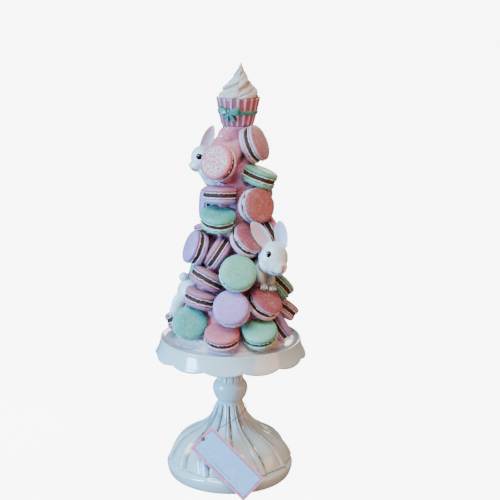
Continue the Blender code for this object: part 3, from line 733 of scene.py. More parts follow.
# radius and height off the card's middle, round the section of the dark ring of painted shade
# round the hole
HOLE_SHADE_SECTION = ((1.95, -0.5), (1.95, 0.5), (0.75, 0.5), (0.75, -0.5))
TAG_RIM = 0.35  # bare strip along the card's edges
TAG_PRINTED_LINE = 0.6  # width of the thin line inside the border
RULE_ALONG = (27.0, 54.0)  # where the plain rule is printed
RULE_ACROSS = (-9.9, -9.5)
NECK_REACH = 18.2  # mm from the axis to the string round the neck


def tag_frame():
    """Corner on the table and unit vectors along the card, across it and out of its front."""
    lean_back = radians(TAG_LEAN)
    turn = radians(TAG_TURN)
    front = Vector((0, -cos(lean_back), sin(lean_back)))
    up = Vector((0, sin(lean_back), cos(lean_back)))
    right = Vector((1, 0, 0))
    along = sin(turn) * up - cos(turn) * right
    across = cos(turn) * up + sin(turn) * right
    return TAG_CORNER, along, across, front


def on_tag(from_end, sideways, proud):
    """Point near the card: distance from its upper short edge, off its middle line."""
    corner, along, across, front = tag_frame()
    start = corner + TAG_LENGTH * MM * along + 0.5 * TAG_WIDTH * MM * across
    return start - from_end * MM * along + sideways * MM * across + proud * MM * front


def string_route():
    """Route of the string: out of the hole, round the neck and back behind the card."""
    behind = [on_tag(9.0, 3.0, -4.0), on_tag(5.2, 1.0, -3.2), on_tag(TAG_HOLE, 0, -1.6)]
    turn = [on_tag(TAG_HOLE - 0.3, 0, 1.0), on_tag(1.6, 0, 2.3), on_tag(-0.4, 0, 2.2),
            on_tag(-1.7, 0, 0.6), on_tag(-1.4, 0.3, -1.6)]
    up_right = ((-22, -49, 63), (-9, -36.5, 66.5), (4, -24.5, 70), (13.5, -14, 73.5))
    neck = ((82, 76), (115, 77), (150, 77.5), (185, 77.5), (220, 77), (255, 76.5))
    down_left = ((-18.6, -8, 75.5), (-20.5, -20, 73.5), (-23, -34, 70.5), (-26.5, -45, 66))
    return (behind + turn + [Vector(p) * MM for p in up_right]
            + [around(azimuth, NECK_REACH * MM, height * MM) for azimuth, height in neck]
            + [Vector(p) * MM for p in down_left] + [on_tag(-1.0, 4.5, -3.4)])


def string_path():
    """Even points along the middle of the string."""
    return even_points(curve_through([tuple(p) for p in string_route()], 20), 0.8 * MM)


def even_points(curve, spacing):
    """Points at an even spacing along a fine curve."""
    curve = np.asarray(curve)
    walked = np.concatenate(([0.0], np.cumsum(np.linalg.norm(np.diff(curve, axis=0), axis=1))))
    count = max(2, round(walked[-1] / spacing))
    goals = np.linspace(0.0, walked[-1], count + 1)
    return np.stack([np.interp(goals, walked, curve[:, k]) for k in range(3)], axis=1)


def string_finish(settings):
    return Finish("waxed_string", roughness=0.7).painted(
        settings.colour, srgb(172, 178, 184), 0.0016, 0.4, (0.62, 0.8), (0.0003, 0.00008, 0.8))


class TOWER_OT_string(bpy.types.Operator):
    """Loop the string of the hang tag round the neck of the stand"""
    bl_idname = "tower.string"
    bl_label = "String"

    def execute(self, context):
        settings = context.scene.tower_string
        path = string_path()
        radius = 0.5 * settings.diameter
        material = string_finish(settings)
        points, faces = tube(path, radius, 12, twist=settings.twist)
        make_piece("string_loop", points, faces, [material], "string", ["tag_string"])
        self.tie_knot(Vector(path[-1]), radius, material)
        return {"FINISHED"}

    def tie_knot(self, place, radius, material):
        """Small overhand knot where the ends of the string meet behind the card."""
        turn = np.radians(evenly(90))
        loop = np.stack((0.5 * np.sin(turn) + np.sin(2 * turn),
                         0.5 * np.cos(turn) - np.cos(2 * turn), -0.75 * np.sin(3 * turn)), axis=1)
        axes = Matrix(tag_frame()[1:]).transposed()
        path = [place + axes @ Vector(p) for p in 1.15 * MM * loop]
        points, faces = tube(path + path[:1], 0.95 * radius, 8)
        make_piece("string_knot", points, faces, [material], "string")


class TOWER_OT_tag(bpy.types.Operator):
    """Cut the bare hang tag with its coloured border"""
    bl_idname = "tower.tag"
    bl_label = "Hang tag"

    def execute(self, context):
        settings = context.scene.tower_tag
        self.cut_card(settings)
        path = string_path()
        return {"FINISHED"}

    def finishes(self, settings):
        """Card, border, printed line and bare edge, in the order of the zones."""
        return [Finish(name, roughness=0.55).painted(colour, patch, 0.006, 0.4, (0.5, 0.66),
                                                     (0.0005, 0.00002, 0.5))
                for name, colour, patch in (
                    ("card_paper", settings.paper, srgb(162, 208, 250)),
                    ("card_border", settings.border, srgb(214, 176, 206)),
                    ("card_line", settings.line, srgb(150, 150, 172)),
                    ("card_edge", srgb(226, 228, 232), srgb(206, 208, 214)))]

    def cut_card(self, settings):
        """Card in its own axes: x down from the upper short edge, y across, z out."""
        half = 0.5 * TAG_WIDTH
        border = settings.border_width / MM
        insets = (0.0, TAG_RIM, border, border + TAG_PRINTED_LINE)
        # cuts along and across, mm, so that the border, its line and the rule get faces
        xs = sorted({*insets, *(TAG_LENGTH - inset for inset in insets), *RULE_ALONG,
                     12.0, 20.0, 40.0, 66.0})
        ys = sorted({*(inset - half for inset in insets), *(half - inset for inset in insets),
                     *RULE_ACROSS, -4.0, 0.0, 4.0, 9.0})
        points = []
        for way in (1, -1):
            for x in xs:
                # a slight bow along the card, and edges that fall off a little
                bow = 0.25 * sin(pi * x / TAG_LENGTH) - 0.2
                for y in ys:
                    rim = x in (0.0, TAG_LENGTH) or y in (-half, half)
                    level = way * (0.5 * TAG_THICKNESS - 0.12 * rim) + bow
                    points.append((x * MM, y * MM, level * MM))
        faces = sheet_faces(len(xs), len(ys))
        zones = []
        for x in np.convolve(xs, (0.5, 0.5), "valid"):
            for y in np.convolve(ys, (0.5, 0.5), "valid"):
                zones += [self.zone(x, y, half, border), 0]
        zones += [3] * (len(faces) - len(zones))
        mesh = new_mesh("hang_tag_card", points, faces)
        for material in self.finishes(settings):
            mesh.materials.append(material)
        mesh.polygons.foreach_set("material_index", zones)
        card = new_item("hang_tag_card", mesh)
        fix_normals(card)
        self.punch_hole(card)
        corner, along, across, front = tag_frame()
        place = Matrix((-along, across, front)).transposed().to_4x4()
        place.translation = corner + TAG_LENGTH * MM * along + 0.5 * TAG_WIDTH * MM * across
        card.data.transform(place)
        card.data.set_sharp_from_angle(angle=radians(35))
        join_model(card, "tag", ["hang_tag"])
        self.shade_hole()

    def shade_hole(self):
        """Painted shade: a dark ring round the punched hole, on both faces of the card."""
        sides = 28
        points = [tuple(on_tag(TAG_HOLE + reach * cos(turn), reach * sin(turn), proud))
                  for reach, proud in HOLE_SHADE_SECTION
                  for turn in np.radians(evenly(sides)).tolist()]
        # painted shade round the hole
        hole_shade = Finish("hole_shade_ring", roughness=0.6).painted(
            srgb(40, 38, 42), srgb(70, 66, 70), 0.001, 0.4, (0.5, 0.7), (0.0004, 0.00002, 0.5))
        faces = torus_quads(4, sides)
        fix_normals(make_piece("tag_hole_ring", points, faces, [hole_shade], "tag"))

    def zone(self, x, y, half, border):
        """What the front shows at a place: 0 card, 1 border, 2 printed line."""
        inset = min(x, TAG_LENGTH - x, y + half, half - y)
        if inset < border:
            return 1
        if inset < border + TAG_PRINTED_LINE:
            return 2
        on_rule = RULE_ALONG[0] < x < RULE_ALONG[1] and RULE_ACROSS[0] < y < RULE_ACROSS[1]
        return 2 if on_rule else 0

    def punch_hole(self, card):
        """Cut the round hole; its wall takes the printed line's dark material as painted shade."""
        ends = [level_ring(evenly(28), TAG_HOLE_RADIUS, level) + (TAG_HOLE, 0, 0)
                for level in (-3.0, 3.0)]
        points, faces = turned(np.array(ends) * MM, (TAG_HOLE * MM, 0, -3.0 * MM),
                               (TAG_HOLE * MM, 0, 3.0 * MM))
        drill = new_item("drill", new_mesh("drill", points, faces))
        drill.data.materials.append(card.data.materials[2])
        cut = card.modifiers.new("cut", "BOOLEAN")
        cut.operation = "DIFFERENCE"
        cut.solver = "EXACT"
        cut.object = drill
        result = after_modifiers(card)
        card.modifiers.clear()
        card.data = result
        bpy.data.objects.remove(drill, do_unlink=True)


# ---- the stand
PLATE_HEIGHT = 159.0  # mm, the raised line round the plate
SCALLOP_START = 10.0  # azimuth of a cusp, degrees
PLEAT_START = 11.0  # azimuth of a groove at the folds' lower end
FOLD_LOW = 21.0  # mm, heights where the folds begin and end
FOLD_HIGH = 79.0
PLEAT_TWIST = 13.0  # degrees that a fold turns on its way up to the neck
SECTOR_SHARES = (0, 0.03, 0.07, 0.12, 0.18, 0.26, 0.35, 0.44, 0.53, 0.59, 0.62, 0.64, 0.66,
                 0.7, 0.76, 0.81, 0.845, 0.875, 0.9, 0.925, 0.945, 0.96, 0.975, 0.988)
CREASE = 0.64  # shares across a fold where its crease, its bead and its groove run
BEAD = 0.79
GROOVE = 0.962
FOOT_UNDERSIDE = (40, 56, 59)  # radii on the table
# radius and height of the round band
BAND_STATIONS = ((60.5, 0), (64.8, 0.7), (67.4, 3.2), (69, 7.2), (69.9, 11), (70.1, 13.6))
# radius, height and share of the chords, up the slope over the band
SLOPE_STATIONS = ((69.8, 15.2, 0.2), (69.1, 16.6, 0.5), (68.2, 17.9, 0.8), (67.5, 19, 1),
                  (67.2, 19.6, 1))
# radius, height and cut of the folds on the proud lip
LIP_STATIONS = ((68.3, 19.8, 1.1), (69.2, 20.05, 1.3), (69.45, 20.5, 1.5))
# radius over the ridges, height and pleat depth, from the pleats' lower end to the neck
PLEAT_STATIONS = ((69, 21, 1.6), (66.4, 27, 2.8), (62.9, 33, 3.7), (58.9, 38, 4.3),
                  (53.6, 43, 4.7), (47.4, 47.2, 4.8), (41.8, 50.2, 4.7), (36.6, 53, 4.4),
                  (32.4, 56, 3.9), (28.8, 59, 3.7), (25.9, 62, 3.5), (23.3, 65, 3.2),
                  (20.6, 69, 2.8), (17.9, 74, 2.4), (16.2, 78, 2), (15.2, 81.6, 1.6))
# radius, height and flute depth, from the neck over the knop to the plate's underside
STEM_STATIONS = ((14.4, 82.6, 1), (13.5, 83.8, 0.2), (13.6, 85, 0), (14.8, 87, 0),
                 (16.6, 89.8, 0), (18, 93.2, 0), (19, 97, 0), (19.3, 100.4, 0),
                 (18.6, 103.8, 0), (16.9, 106.6, 0.1), (15.3, 108.8, 0.5),
                 (14.3, 111.2, 1), (13.7, 115, 1.3), (13.8, 121, 1.4), (14.8, 129, 1.4),
                 (17, 137, 1.2), (20.4, 144.2, 0.9), (29, 148.6, 0.4), (46, 151.6, 0),
                 (70, 153.8, 0))
# radius and height over the plate's lower edge, round its rolled lip
ROLL_STATIONS = ((79.4, 1.9), (79.9, 0.7), (80.7, 0.05), (81.7, 0), (82.45, 0.6), (82.7, 1.6))
SKIRT_SHARES = (0.14, 0.24, 0.36, 0.48, 0.6, 0.72, 0.84, 0.94)
# radius and depth under the raised line, from outside it in to the sunk top
RIM_STATIONS = ((76.5, 1.1), (76.4, 0.5), (76, 0.12), (75.4, 0), (74.6, 0.15), (73.8, 0.5),
                (72.8, 1), (71.6, 1.4), (70.2, 1.6))
PLATE_RADII = (68, 66, 63, 60, 56, 50, 30, 12)
PLATE_SINK = 1.7  # mm from the raised line down to the top of the plate


def scallop(share):
    """1 in the middle of a scallop and 0 at its cusps."""
    return np.sin(np.pi * np.clip(share, 0.0, 1.0)) ** 0.7


def line_at(share, middle, width):
    """1 on a line that runs up the stand, fading to 0 beside it."""
    return np.exp(-((share - middle) / width) ** 2)


def pleat(share):
    """Height of one fold across its width: a long swell, a ridge and a steep fall."""
    rise = np.sin(0.5 * np.pi * np.clip(share / 0.7, 0.0, 1.0)) ** 0.8
    crease = 0.3 * line_at(share, CREASE, 0.03)
    return (rise - crease) * (1.0 - smooth_step(share, 0.8, 0.955))


# Share of painted shade across a fold: strong at its groove, and fading in from the fold's start.
def groove_shade_line(share, width):
    return line_at(share, GROOVE, width) + 0.4 * np.exp(-share / 0.09)


def straight_end(share):
    """Straight chord from ridge to ridge, as a share below a circle of radius 1."""
    turn = np.radians(30.0) * (((share - 0.84) % 1.0) - 0.5)
    return cos(radians(15.0)) / np.cos(turn) - 1.0


class TOWER_OT_stand(bpy.types.Operator):
    """Turn and glaze the footed stand with its pleats, knop and scalloped plate"""
    bl_idname = "tower.stand"
    bl_label = "Cake stand"

    def execute(self, context):
        settings = context.scene.tower_stand
        shares = np.tile(SECTOR_SHARES, SECTORS)
        sector = np.repeat(np.arange(SECTORS), len(SECTOR_SHARES))
        self.angles = (sector + shares) * (360.0 / SECTORS)
        self.shares = shares
        rings = []
        groove_shades = []

        # hollow is the share of painted shade that a ring takes in its grooves and fold lines
        def add(radius, height, start, hollow=0.0, uneven=0.0):
            azimuths = self.angles + start
            azimuths = azimuths - 4.0 * uneven * np.sin(np.radians(azimuths))
            rings.append(level_ring(azimuths, radius, height) * MM)
            groove_shades.append(np.broadcast_to(hollow, azimuths.shape))

        groove = settings.groove_depth / MM
        self.shape_foot(add, groove)
        self.shape_stem(add)
        self.shape_plate(add)
        points, faces = turned(rings, axis_point(0), axis_point(PLATE_HEIGHT - PLATE_SINK))
        # the stored hollow share carries the painted shade of the grooves
        make_piece("glazed_stand", points, faces, [self.glaze(settings)], "stand",
                   ["cake_stand"], stored={"hollow": np.concatenate(groove_shades + [np.zeros(2)])})
        return {"FINISHED"}

    def shape_foot(self, add, groove):
        """Round band, the chords where the folds end with a proud lip, and the folds."""
        chord = 69.4 * straight_end(self.shares)
        low_side = 1.0 - pleat(self.shares)
        for radius in FOOT_UNDERSIDE:
            add(radius, 0.0, PLEAT_START, 0.0, 1.0)
        for radius, height in curve_through(BAND_STATIONS, 3):
            add(radius, height, PLEAT_START, 0.0, 1.0)
        # painted shade: the rows under the proud lip, the lip's fold lines and the folds' grooves
        # and creases take a hollow share
        for radius, height, share in SLOPE_STATIONS:
            add(radius + share * chord - 0.9 * share * low_side, height, PLEAT_START,
                0.55 * (share == 1.0), 1.0)
        for radius, height, cut in LIP_STATIONS:
            add(radius + chord - cut * low_side, height, PLEAT_START,
                0.5 * groove_shade_line(self.shares, 0.03), 1.0)
        for radius, height, depth in curve_through(PLEAT_STATIONS, 5):
            climbed = (height - FOLD_LOW) / (FOLD_HIGH - FOLD_LOW)
            flat = 1.0 - float(smooth_step(height, FOLD_LOW, 40.0))
            cut = groove * line_at(self.shares, GROOVE, 0.028)
            bead = 0.4 * line_at(self.shares, BEAD, 0.04)
            crease = 0.7 * line_at(self.shares, CREASE, 0.02)
            add(radius + flat * chord - depth * low_side - cut + bead, height,
                PLEAT_START - PLEAT_TWIST * climbed, groove_shade_line(self.shares, 0.06) + crease,
                1.0 - climbed)

    def shape_stem(self, add):
        start = PLEAT_START - PLEAT_TWIST
        for radius, height, depth in curve_through(STEM_STATIONS, 4):
            depth = max(depth, 0.0)
            flute = -depth * np.abs(np.cos(1.5 * np.pi * self.shares + 0.3)) ** 5
            # painted shade along the flute lines
            line = np.abs(np.cos(1.5 * np.pi * self.shares + 0.3)) ** 14 * min(1.0, depth)
            add(radius + flute, height, start, line)

    def shape_plate(self, add):
        """Underside, rolled lip, flared skirt, raised line and the sunk top of the plate."""
        bulge = scallop(self.shares)
        low = PLATE_HEIGHT - 16.9
        drop = 3.6 * bulge
        tuck = 1.3 * (1.0 - bulge)
        add(76.5 - 0.3 * tuck, PLATE_HEIGHT - 7.0, SCALLOP_START)
        for radius, rise in ROLL_STATIONS:
            add(radius - tuck, low - drop + rise, SCALLOP_START)
        for share in SKIRT_SHARES:
            radius = 76.7 + 5.7 * (1.0 - share) ** 1.5 - tuck * (1.0 - share) ** 1.4
            height = (low - drop + 1.6) * (1.0 - share) + (PLATE_HEIGHT - 1.6) * share
            add(radius, height, SCALLOP_START)
        for radius, depth in RIM_STATIONS:
            add(radius, PLATE_HEIGHT - depth, SCALLOP_START)
        turn = np.radians(self.angles + SCALLOP_START)
        for radius in PLATE_RADII:
            ripple = 0.12 * np.sin(7 * turn + 0.5 * radius) * np.sin(0.45 * radius)
            add(radius, PLATE_HEIGHT - PLATE_SINK + ripple, SCALLOP_START)

    def glaze(self, settings):
        glaze = Finish("milk_glaze", roughness=0.14, coat_weight=0.6, coat_roughness=0.04)
        tone = glaze.patches(settings.glaze, srgb(196, 212, 216), 0.03, 0.4)
        # painted shade: the stored hollow share, broken up by noise, darkens the glaze towards the
        # hollow colour
        shade_breakup = glaze.spread(glaze.noise(0.004, 3.0), 0.1, 0.65)
        with_painted_shade = glaze.mix(glaze.times(glaze.stored("hollow"), shade_breakup), tone["Colour"],
                           settings.hollow)
        speck = glaze.flecks(0.006, 0.05, 0.05)
        glaze.colour(glaze.mix(speck, with_painted_shade, srgb(176, 170, 160)))
        glaze.roughness(glaze.noise(0.012, 3.0), 0.1, 0.2)
        glaze.bump(glaze.noise(0.005, 1.0), 0.00012, 0.35)
        return glaze.material


# ---- the macarons
def solid_shape(node):
    """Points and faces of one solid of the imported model."""
    return mesh_shape(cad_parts[node].data)


def look_round():
    """Eighteen directions that look level, a little up and a little down."""
    return [around(60 * step + 40 * height, sqrt(1 - height * height), height)
            for height in (-0.6, 0.0, 0.6) for step in range(6)]


def blocked_share(tree, point, normal, looks):
    """Share of the view from a point that is blocked within 16 mm."""
    start = point + normal * 0.5 * MM
    total = blocked = 0.0
    for look in looks:
        facing = look.dot(normal)
        if facing > 0.1:
            total += facing
            if tree.ray_cast(start, look, 16 * MM)[0] is not None:
                blocked += facing
    return blocked / max(total, 1e-6)


class Sandwich:
    """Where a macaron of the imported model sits, and how large it is."""

    def __init__(self, node):
        points = np.unique(np.round(mesh_rows(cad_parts[node].data, "co"), 6), axis=0)
        self.node = node
        self.number = int(node.split("_")[1])
        self.flavour = node.split("_")[2]
        self.centre = points.mean(axis=0)
        local = points - self.centre
        axis = np.linalg.eigh(local.T @ local)[1][:, 0]
        outward = np.array([self.centre[0], self.centre[1], 0.0])
        outward /= max(np.linalg.norm(outward), 1e-9)
        if axis @ outward + 0.8 * axis[2] < 0:
            axis = -axis
        self.axis = axis
        along = local @ axis
        self.half = float(np.abs(along).max())
        self.radius = float(np.linalg.norm(local - np.outer(along, axis), axis=1).max())

    def place(self):
        turn = Vector(self.axis).to_track_quat("Z", "Y").to_matrix().to_4x4()
        return Matrix.Translation(Vector(self.centre)) @ turn


def sandwiches():
    return [Sandwich(name) for name in sorted(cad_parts) if name.startswith("macaron_")]


# side view of half a macaron, from the filling's middle to the top of the shell: share of
# the radius, share of half the thickness, relief (raised places take the dry brush and its painted
# highlight, sunk places painted shade), cap share
HALF_PROFILE = (
    (0.93, 0, 0, 0), (0.935, 0.08, 0, 0), (0.925, 0.15, 0, 0),
    (0.9, 0.195, -1, 0),
    (0.915, 0.215, -0.3, 0), (0.955, 0.228, 0.6, 0), (0.988, 0.258, 1, 0),
    (1, 0.3, 1, 0), (0.99, 0.34, 0.5, 0), (0.962, 0.372, -0.5, 0),
    (0.932, 0.402, -1, 0), (0.948, 0.432, -0.5, 0), (0.978, 0.462, 0.2, 0.05),
    (0.99, 0.52, 0.2, 0.15), (0.992, 0.585, 0, 0.3), (0.985, 0.65, 0, 0.55),
    (0.965, 0.72, 0, 0.85), (0.93, 0.79, 0, 1), (0.88, 0.852, 0, 1),
    (0.815, 0.902, 0, 1), (0.72, 0.944, 0, 1), (0.58, 0.974, 0, 1),
    (0.4, 0.991, 0, 1), (0.2, 0.999, 0, 1), (0.07, 1, 0, 1))
FILLING_ROWS = 4  # rows of the profile that belong to the filling
MACARON_SIDES = 84


def macaron_shape(sandwich, ruffle):
    """Points, faces, zone of each face and the relief and cap share of each point."""
    chance = random.Random(1000 + sandwich.number)
    turn = np.radians(evenly(MACARON_SIDES))
    waves = [(chance.randint(7, 26), chance.uniform(0, 6.28), chance.uniform(0.5, 1.0))
             for _ in range(5)]
    round_off = 1.0 + 0.008 * np.sin(2 * turn + chance.uniform(0, 6.28))
    half_rows = np.array(HALF_PROFILE)
    rows = np.vstack((half_rows[::-1] * (1, -1, 1, 1), half_rows[1:]))
    r, h, relief, cap = (column[:, None] for column in rows.T)
    side = np.where(np.arange(len(rows)) < len(half_rows), -1, 1)[:, None]
    wave = sum(size * np.sin(count * turn + phase * (1.0 + 0.6 * side))
               for count, phase, size in waves) / 3.0
    filling = 0.25 * ruffle * np.roll(wave, 11, axis=1) + 0.18 * MM * np.sin(31 * turn + 9 * h)
    frill = np.where(np.abs(h) < 0.18, filling, ruffle * np.maximum(relief, 0.0) * wave)
    lift = 0.8 * ruffle * (relief > 0.25) * np.roll(wave, 5, axis=1) * (1 - cap)
    reach = sandwich.radius * r * round_off + frill
    height = sandwich.half * h + side * lift
    rings = np.stack((reach * np.cos(turn), reach * np.sin(turn), height), axis=2)
    points, faces = turned(rings, (0, 0, -sandwich.half), (0, 0, sandwich.half))
    place = sandwich.place()
    points = np.array(points)
    swell = lumps(points, 10 * MM, 300 + sandwich.number, 2) * 0.2 * MM
    crumbs = lumps(points, 2.4 * MM, 400 + sandwich.number, 2) * 0.14 * MM
    reach = np.linalg.norm(points[:, :2], axis=1)
    filled = np.abs(points[:, 2]) < 0.18 * sandwich.half
    grow = 1.0 + (0.8 * swell + np.where(filled, 2.4 * crumbs, 0.0)) / np.maximum(reach, 1 * MM)
    points[:, :2] *= np.where(reach > 0.8 * sandwich.radius, grow, 1.0)[:, None]
    inside = reach < 0.97 * sandwich.radius
    points[:, 2] += np.sign(points[:, 2]) * np.minimum(swell, 0.0) * inside
    points = [place @ Vector(p) for p in points]
    row = np.arange(len(rows) - 1)
    middle = len(half_rows) - 1
    away = np.where(row >= middle, row - middle, middle - 1 - row)
    zone = np.where(away < FILLING_ROWS - 1, 2, np.where(row >= middle, 0, 1))
    zones = np.repeat(np.append(zone, (1, 0)), MACARON_SIDES)

    def per_point(values, at_poles):
        return np.append(np.broadcast_to(values, wave.shape).ravel(), (at_poles, at_poles))

    return points, faces, zones, {
        "relief": per_point(relief + 0.3 * wave * (relief > 0.05), 0.0),
        "cap": per_point(cap, 1.0),
        "disc": per_point(cap * smooth_step(-r, -0.9, -0.8), 1.0)}


def macaron_occlusion_shade(sandwich, points, tree, looks):
    """How much its neighbours crowd each point, for the painted shade, worked out on a coarse net
    of points.
    """
    grid = np.array([tuple(p) for p in points[:-2]]).reshape(-1, MACARON_SIDES, 3)
    rows = np.unique(np.linspace(0, len(grid) - 1, 17).round().astype(int))
    columns = np.arange(0, MACARON_SIDES, 4)
    net = np.zeros((len(rows), len(columns) + 1))
    for i, row in enumerate(rows):
        for j, column in enumerate(columns):
            local = grid[row, column] - sandwich.centre
            along = local @ sandwich.axis
            normal = ((local - along * sandwich.axis) / sandwich.radius
                      + sandwich.axis * (along / sandwich.half) ** 3)
            net[i, j] = blocked_share(tree, Vector(grid[row, column]),
                                      Vector(normal).normalized(), looks)
    net[:, -1] = net[:, 0]
    around_it = np.arange(MACARON_SIDES)
    ends = np.append(columns, MACARON_SIDES)
    rings = np.array([np.interp(around_it, ends, line) for line in net])
    full = np.array([np.interp(np.arange(len(grid)), rows, line) for line in rings.T]).T
    return np.append(full.ravel(), (full[0].mean(), full[-1].mean()))


def shell_finish(name, cap, side, frost, flecks, spacing=0.00115, fleck_size=0.3):
    """Dry sugar shell: tinted cap and side, brushed foot that is partly a painted highlight,
    painted shade in its grooves and where neighbours crowd it, scattered flecks.
    """
    shell = Finish(name, roughness=0.44, coat_weight=0.2, coat_roughness=0.28, sheen_weight=0.1)
    paler = tuple(0.86 * c + 0.14 * f for c, f in zip(cap, frost))
    darker = tuple(0.7 * c for c in cap)
    tone = shell.patches(cap, paler, 0.008, 0.4)
    deep = shell.patches(tone["Colour"], darker, 0.0022, 0.38)
    body = shell.mix(shell.spread(shell.stored("cap"), 0.45, 0.75), side, deep["Colour"])
    relief = shell.stored("relief")
    # painted shade: the sunk grooves of the ruffled foot darken towards a deep tone of the side
    sunk = shell.spread(shell.times(relief, -1.0), 0.0, 1.0)
    with_painted_shade = shell.mix(shell.times(sunk, 0.9), body, tuple(0.22 * c for c in side))
    # pale frost paint on the raised crests, partly a painted highlight
    frost_and_highlight = shell.times(shell.brushed(relief, 0.5), 0.8)
    brushed = shell.mix(frost_and_highlight, with_painted_shade, frost)
    # painted shade where neighbouring pieces crowd the shell
    occluded = shell.spread(shell.stored("occlusion_shade"), 0.3, 0.95)
    brushed = shell.mix(shell.times(occluded, 0.7), brushed, srgb(168, 122, 134), "MULTIPLY")
    specks = shell.flecks(spacing, flecks, fleck_size)
    shining = shell.times(specks, shell.spread(shell.stored("disc"), 0.2, 0.8))
    shell.colour(shell.mix(shining, brushed, (0.95, 0.95, 0.97)))
    shell.roughness(shining, 0.46, 0.16)
    height = math_node(shell.tree, "ADD", shell.crumb(0.0015), shining)
    shell.bump(height, 0.0006, 0.9)
    return shell.material


def filling_finish(colour):
    """Rough chocolate filling with lighter crumbs."""
    filling = Finish("chocolate_filling", roughness=0.7)
    tone = filling.patches(colour, srgb(78, 50, 36), 0.0016, 0.36)
    crumbs = filling.flecks(0.0012, 0.1, 0.32)
    filling.colour(filling.mix(crumbs, tone["Colour"], srgb(140, 108, 88)))
    filling.roughness(tone["Mask"], 0.55, 0.85)
    filling.bump(filling.crumb(0.0009), 0.0005, 1.0)
    return filling.material


class TOWER_OT_macarons(bpy.types.Operator):
    """Bake every macaron: two ruffled shells and the filling between them"""
    bl_idname = "tower.macarons"
    bl_label = "Macarons"

    def execute(self, context):
        settings = context.scene.tower_macarons
        mint, violet, rose, coral, frost, brown = (
            tuple(getattr(settings, key))
            for key in ("mint", "violet", "rose", "coral", "frost", "filling"))
        pale = srgb(206, 178, 210)
        dusky = srgb(176, 122, 152)
        blushed = tuple(0.5 * a + 0.4 * b for a, b in zip(rose, violet))
        shells = {}
        # name, colour of the cap and of the side, share of flecks, their spacing and size
        for name, cap, side, *flecks in (
                ("mint", mint, mint, 0.42, 0.0011), ("violet", violet, violet, 0.42, 0.0011),
                ("rose", rose, rose, 0.42, 0.0011), ("coral", coral, pale, 0.42, 0.0011),
                ("pale", pale, pale, 0.06), ("blushed", blushed, blushed, 0.2, 0.0012),
                ("frosted", srgb(222, 130, 150), rose, 1.0, 0.0016, 0.6),
                ("sugared", srgb(172, 112, 130), pale, 0.6, 0.0012, 0.36),
                ("ember", srgb(158, 86, 94), pale, 0.24, 0.0011, 0.28),
                ("dusky", dusky, dusky, 0.42, 0.0011),
                ("teal", srgb(66, 176, 164), mint, 0.42, 0.0011)):
            shells[name] = shell_finish(f"shell_{name}", cap, side, frost, *flecks)
        filling = filling_finish(brown)
        outer = {2: "frosted", 3: "sugared", 8: "ember", 5: "blushed", 11: "blushed",
                 7: "teal", 19: "teal", 12: "dusky", 15: "dusky", 17: "dusky"}
        inner = {"coral": "pale", "rose": "blushed", "violet": "violet", "mint": "mint"}
        solids = {node: solid_shape(node) for node in sorted(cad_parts)
                  if node.startswith(("macaron_", "icing_core", "rabbit_"))}
        looks = look_round()
        for sandwich in sandwiches():
            points, faces, zones, stored = macaron_shape(sandwich, settings.ruffle)
            others = [shape for node, shape in solids.items() if node != sandwich.node]
            tree = BVHTree.FromPolygons(*join_shapes(others))
            # painted shade where the neighbours crowd this macaron
            stored["occlusion_shade"] = macaron_occlusion_shade(sandwich, points, tree, looks)
            above = shells[outer.get(sandwich.number, sandwich.flavour)]
            below = shells[inner[sandwich.flavour]]
            make_piece(f"baked_{sandwich.node}", points, faces, [above, below, filling],
                       sandwich.flavour, [sandwich.node], zones, stored)
        return {"FINISHED"}


# ---- the icing core
CORE_BASE = 157.6
CORE_OUTLINE = ((0, 57.5), (3, 56.5), (7, 54.5), (28, 51), (58, 44.5), (92, 37), (130, 30),
                (180, 21), (200, 16.8), (212, 14), (222, 13), (228, 14), (233.4, 16.8))
LEAN_START = 160.0
LEAN_RATE = 0.024


def lean(height):
    """How far the tower's axis has moved to +X at a height, both in millimetres."""
    return LEAN_RATE * max(0.0, height - LEAN_START)


def axis_point(height):
    """Point of the tower's axis at a height in millimetres."""
    return lean(height) * MM, 0, height * MM


def leaning(points):
    """Shift points in millimetres along +X by the tower's lean at their height."""
    points = np.array(points, dtype=float)
    points[..., 0] += LEAN_RATE * np.maximum(0.0, points[..., 2] - LEAN_START)
    return points


def puck(sandwich, reach, half):
    """Plain round slug inside a macaron, which the icing closes over."""
    place = sandwich.place()
    rings = [[tuple(place @ Vector(p)) for p in level_ring(evenly(20), reach, h)]
             for h in (-half, half)]
    return turned(rings, place @ Vector((0, 0, -half)), place @ Vector((0, 0, half)))


# lumps of icing that fill the gaps the photo shows closed: centre and radii in millimetres
ICING_LUMPS = (((-4.5, -8, 379.5), (11, 7.5, 11.5)), ((4, -2, 379), (12, 10, 10)),
               ((-20.5, -5, 337), (10, 10, 14)), ((33, -33, 243), (12, 12, 15)),
               ((-40, -12, 211), (12, 13, 13)), ((-19, -33, 246), (9, 9, 7)),
               ((-27, -34.5, 222), (10, 9, 5)), ((-22.5, -25.5, 262), (6, 6, 12)))
WEB_SPAN = 38.0  # mm, macarons closer than this get a bridge of icing
WEB_DEPTH = 8.5  # mm that a bridge lies further in than the macarons
WEB_RADIUS = 6.5
SLUG_SHARES = (0.84, 0.74)  # of a macaron's radius and half thickness
ICING_VOXEL = 1.7
ICING_ROUNDS = 7


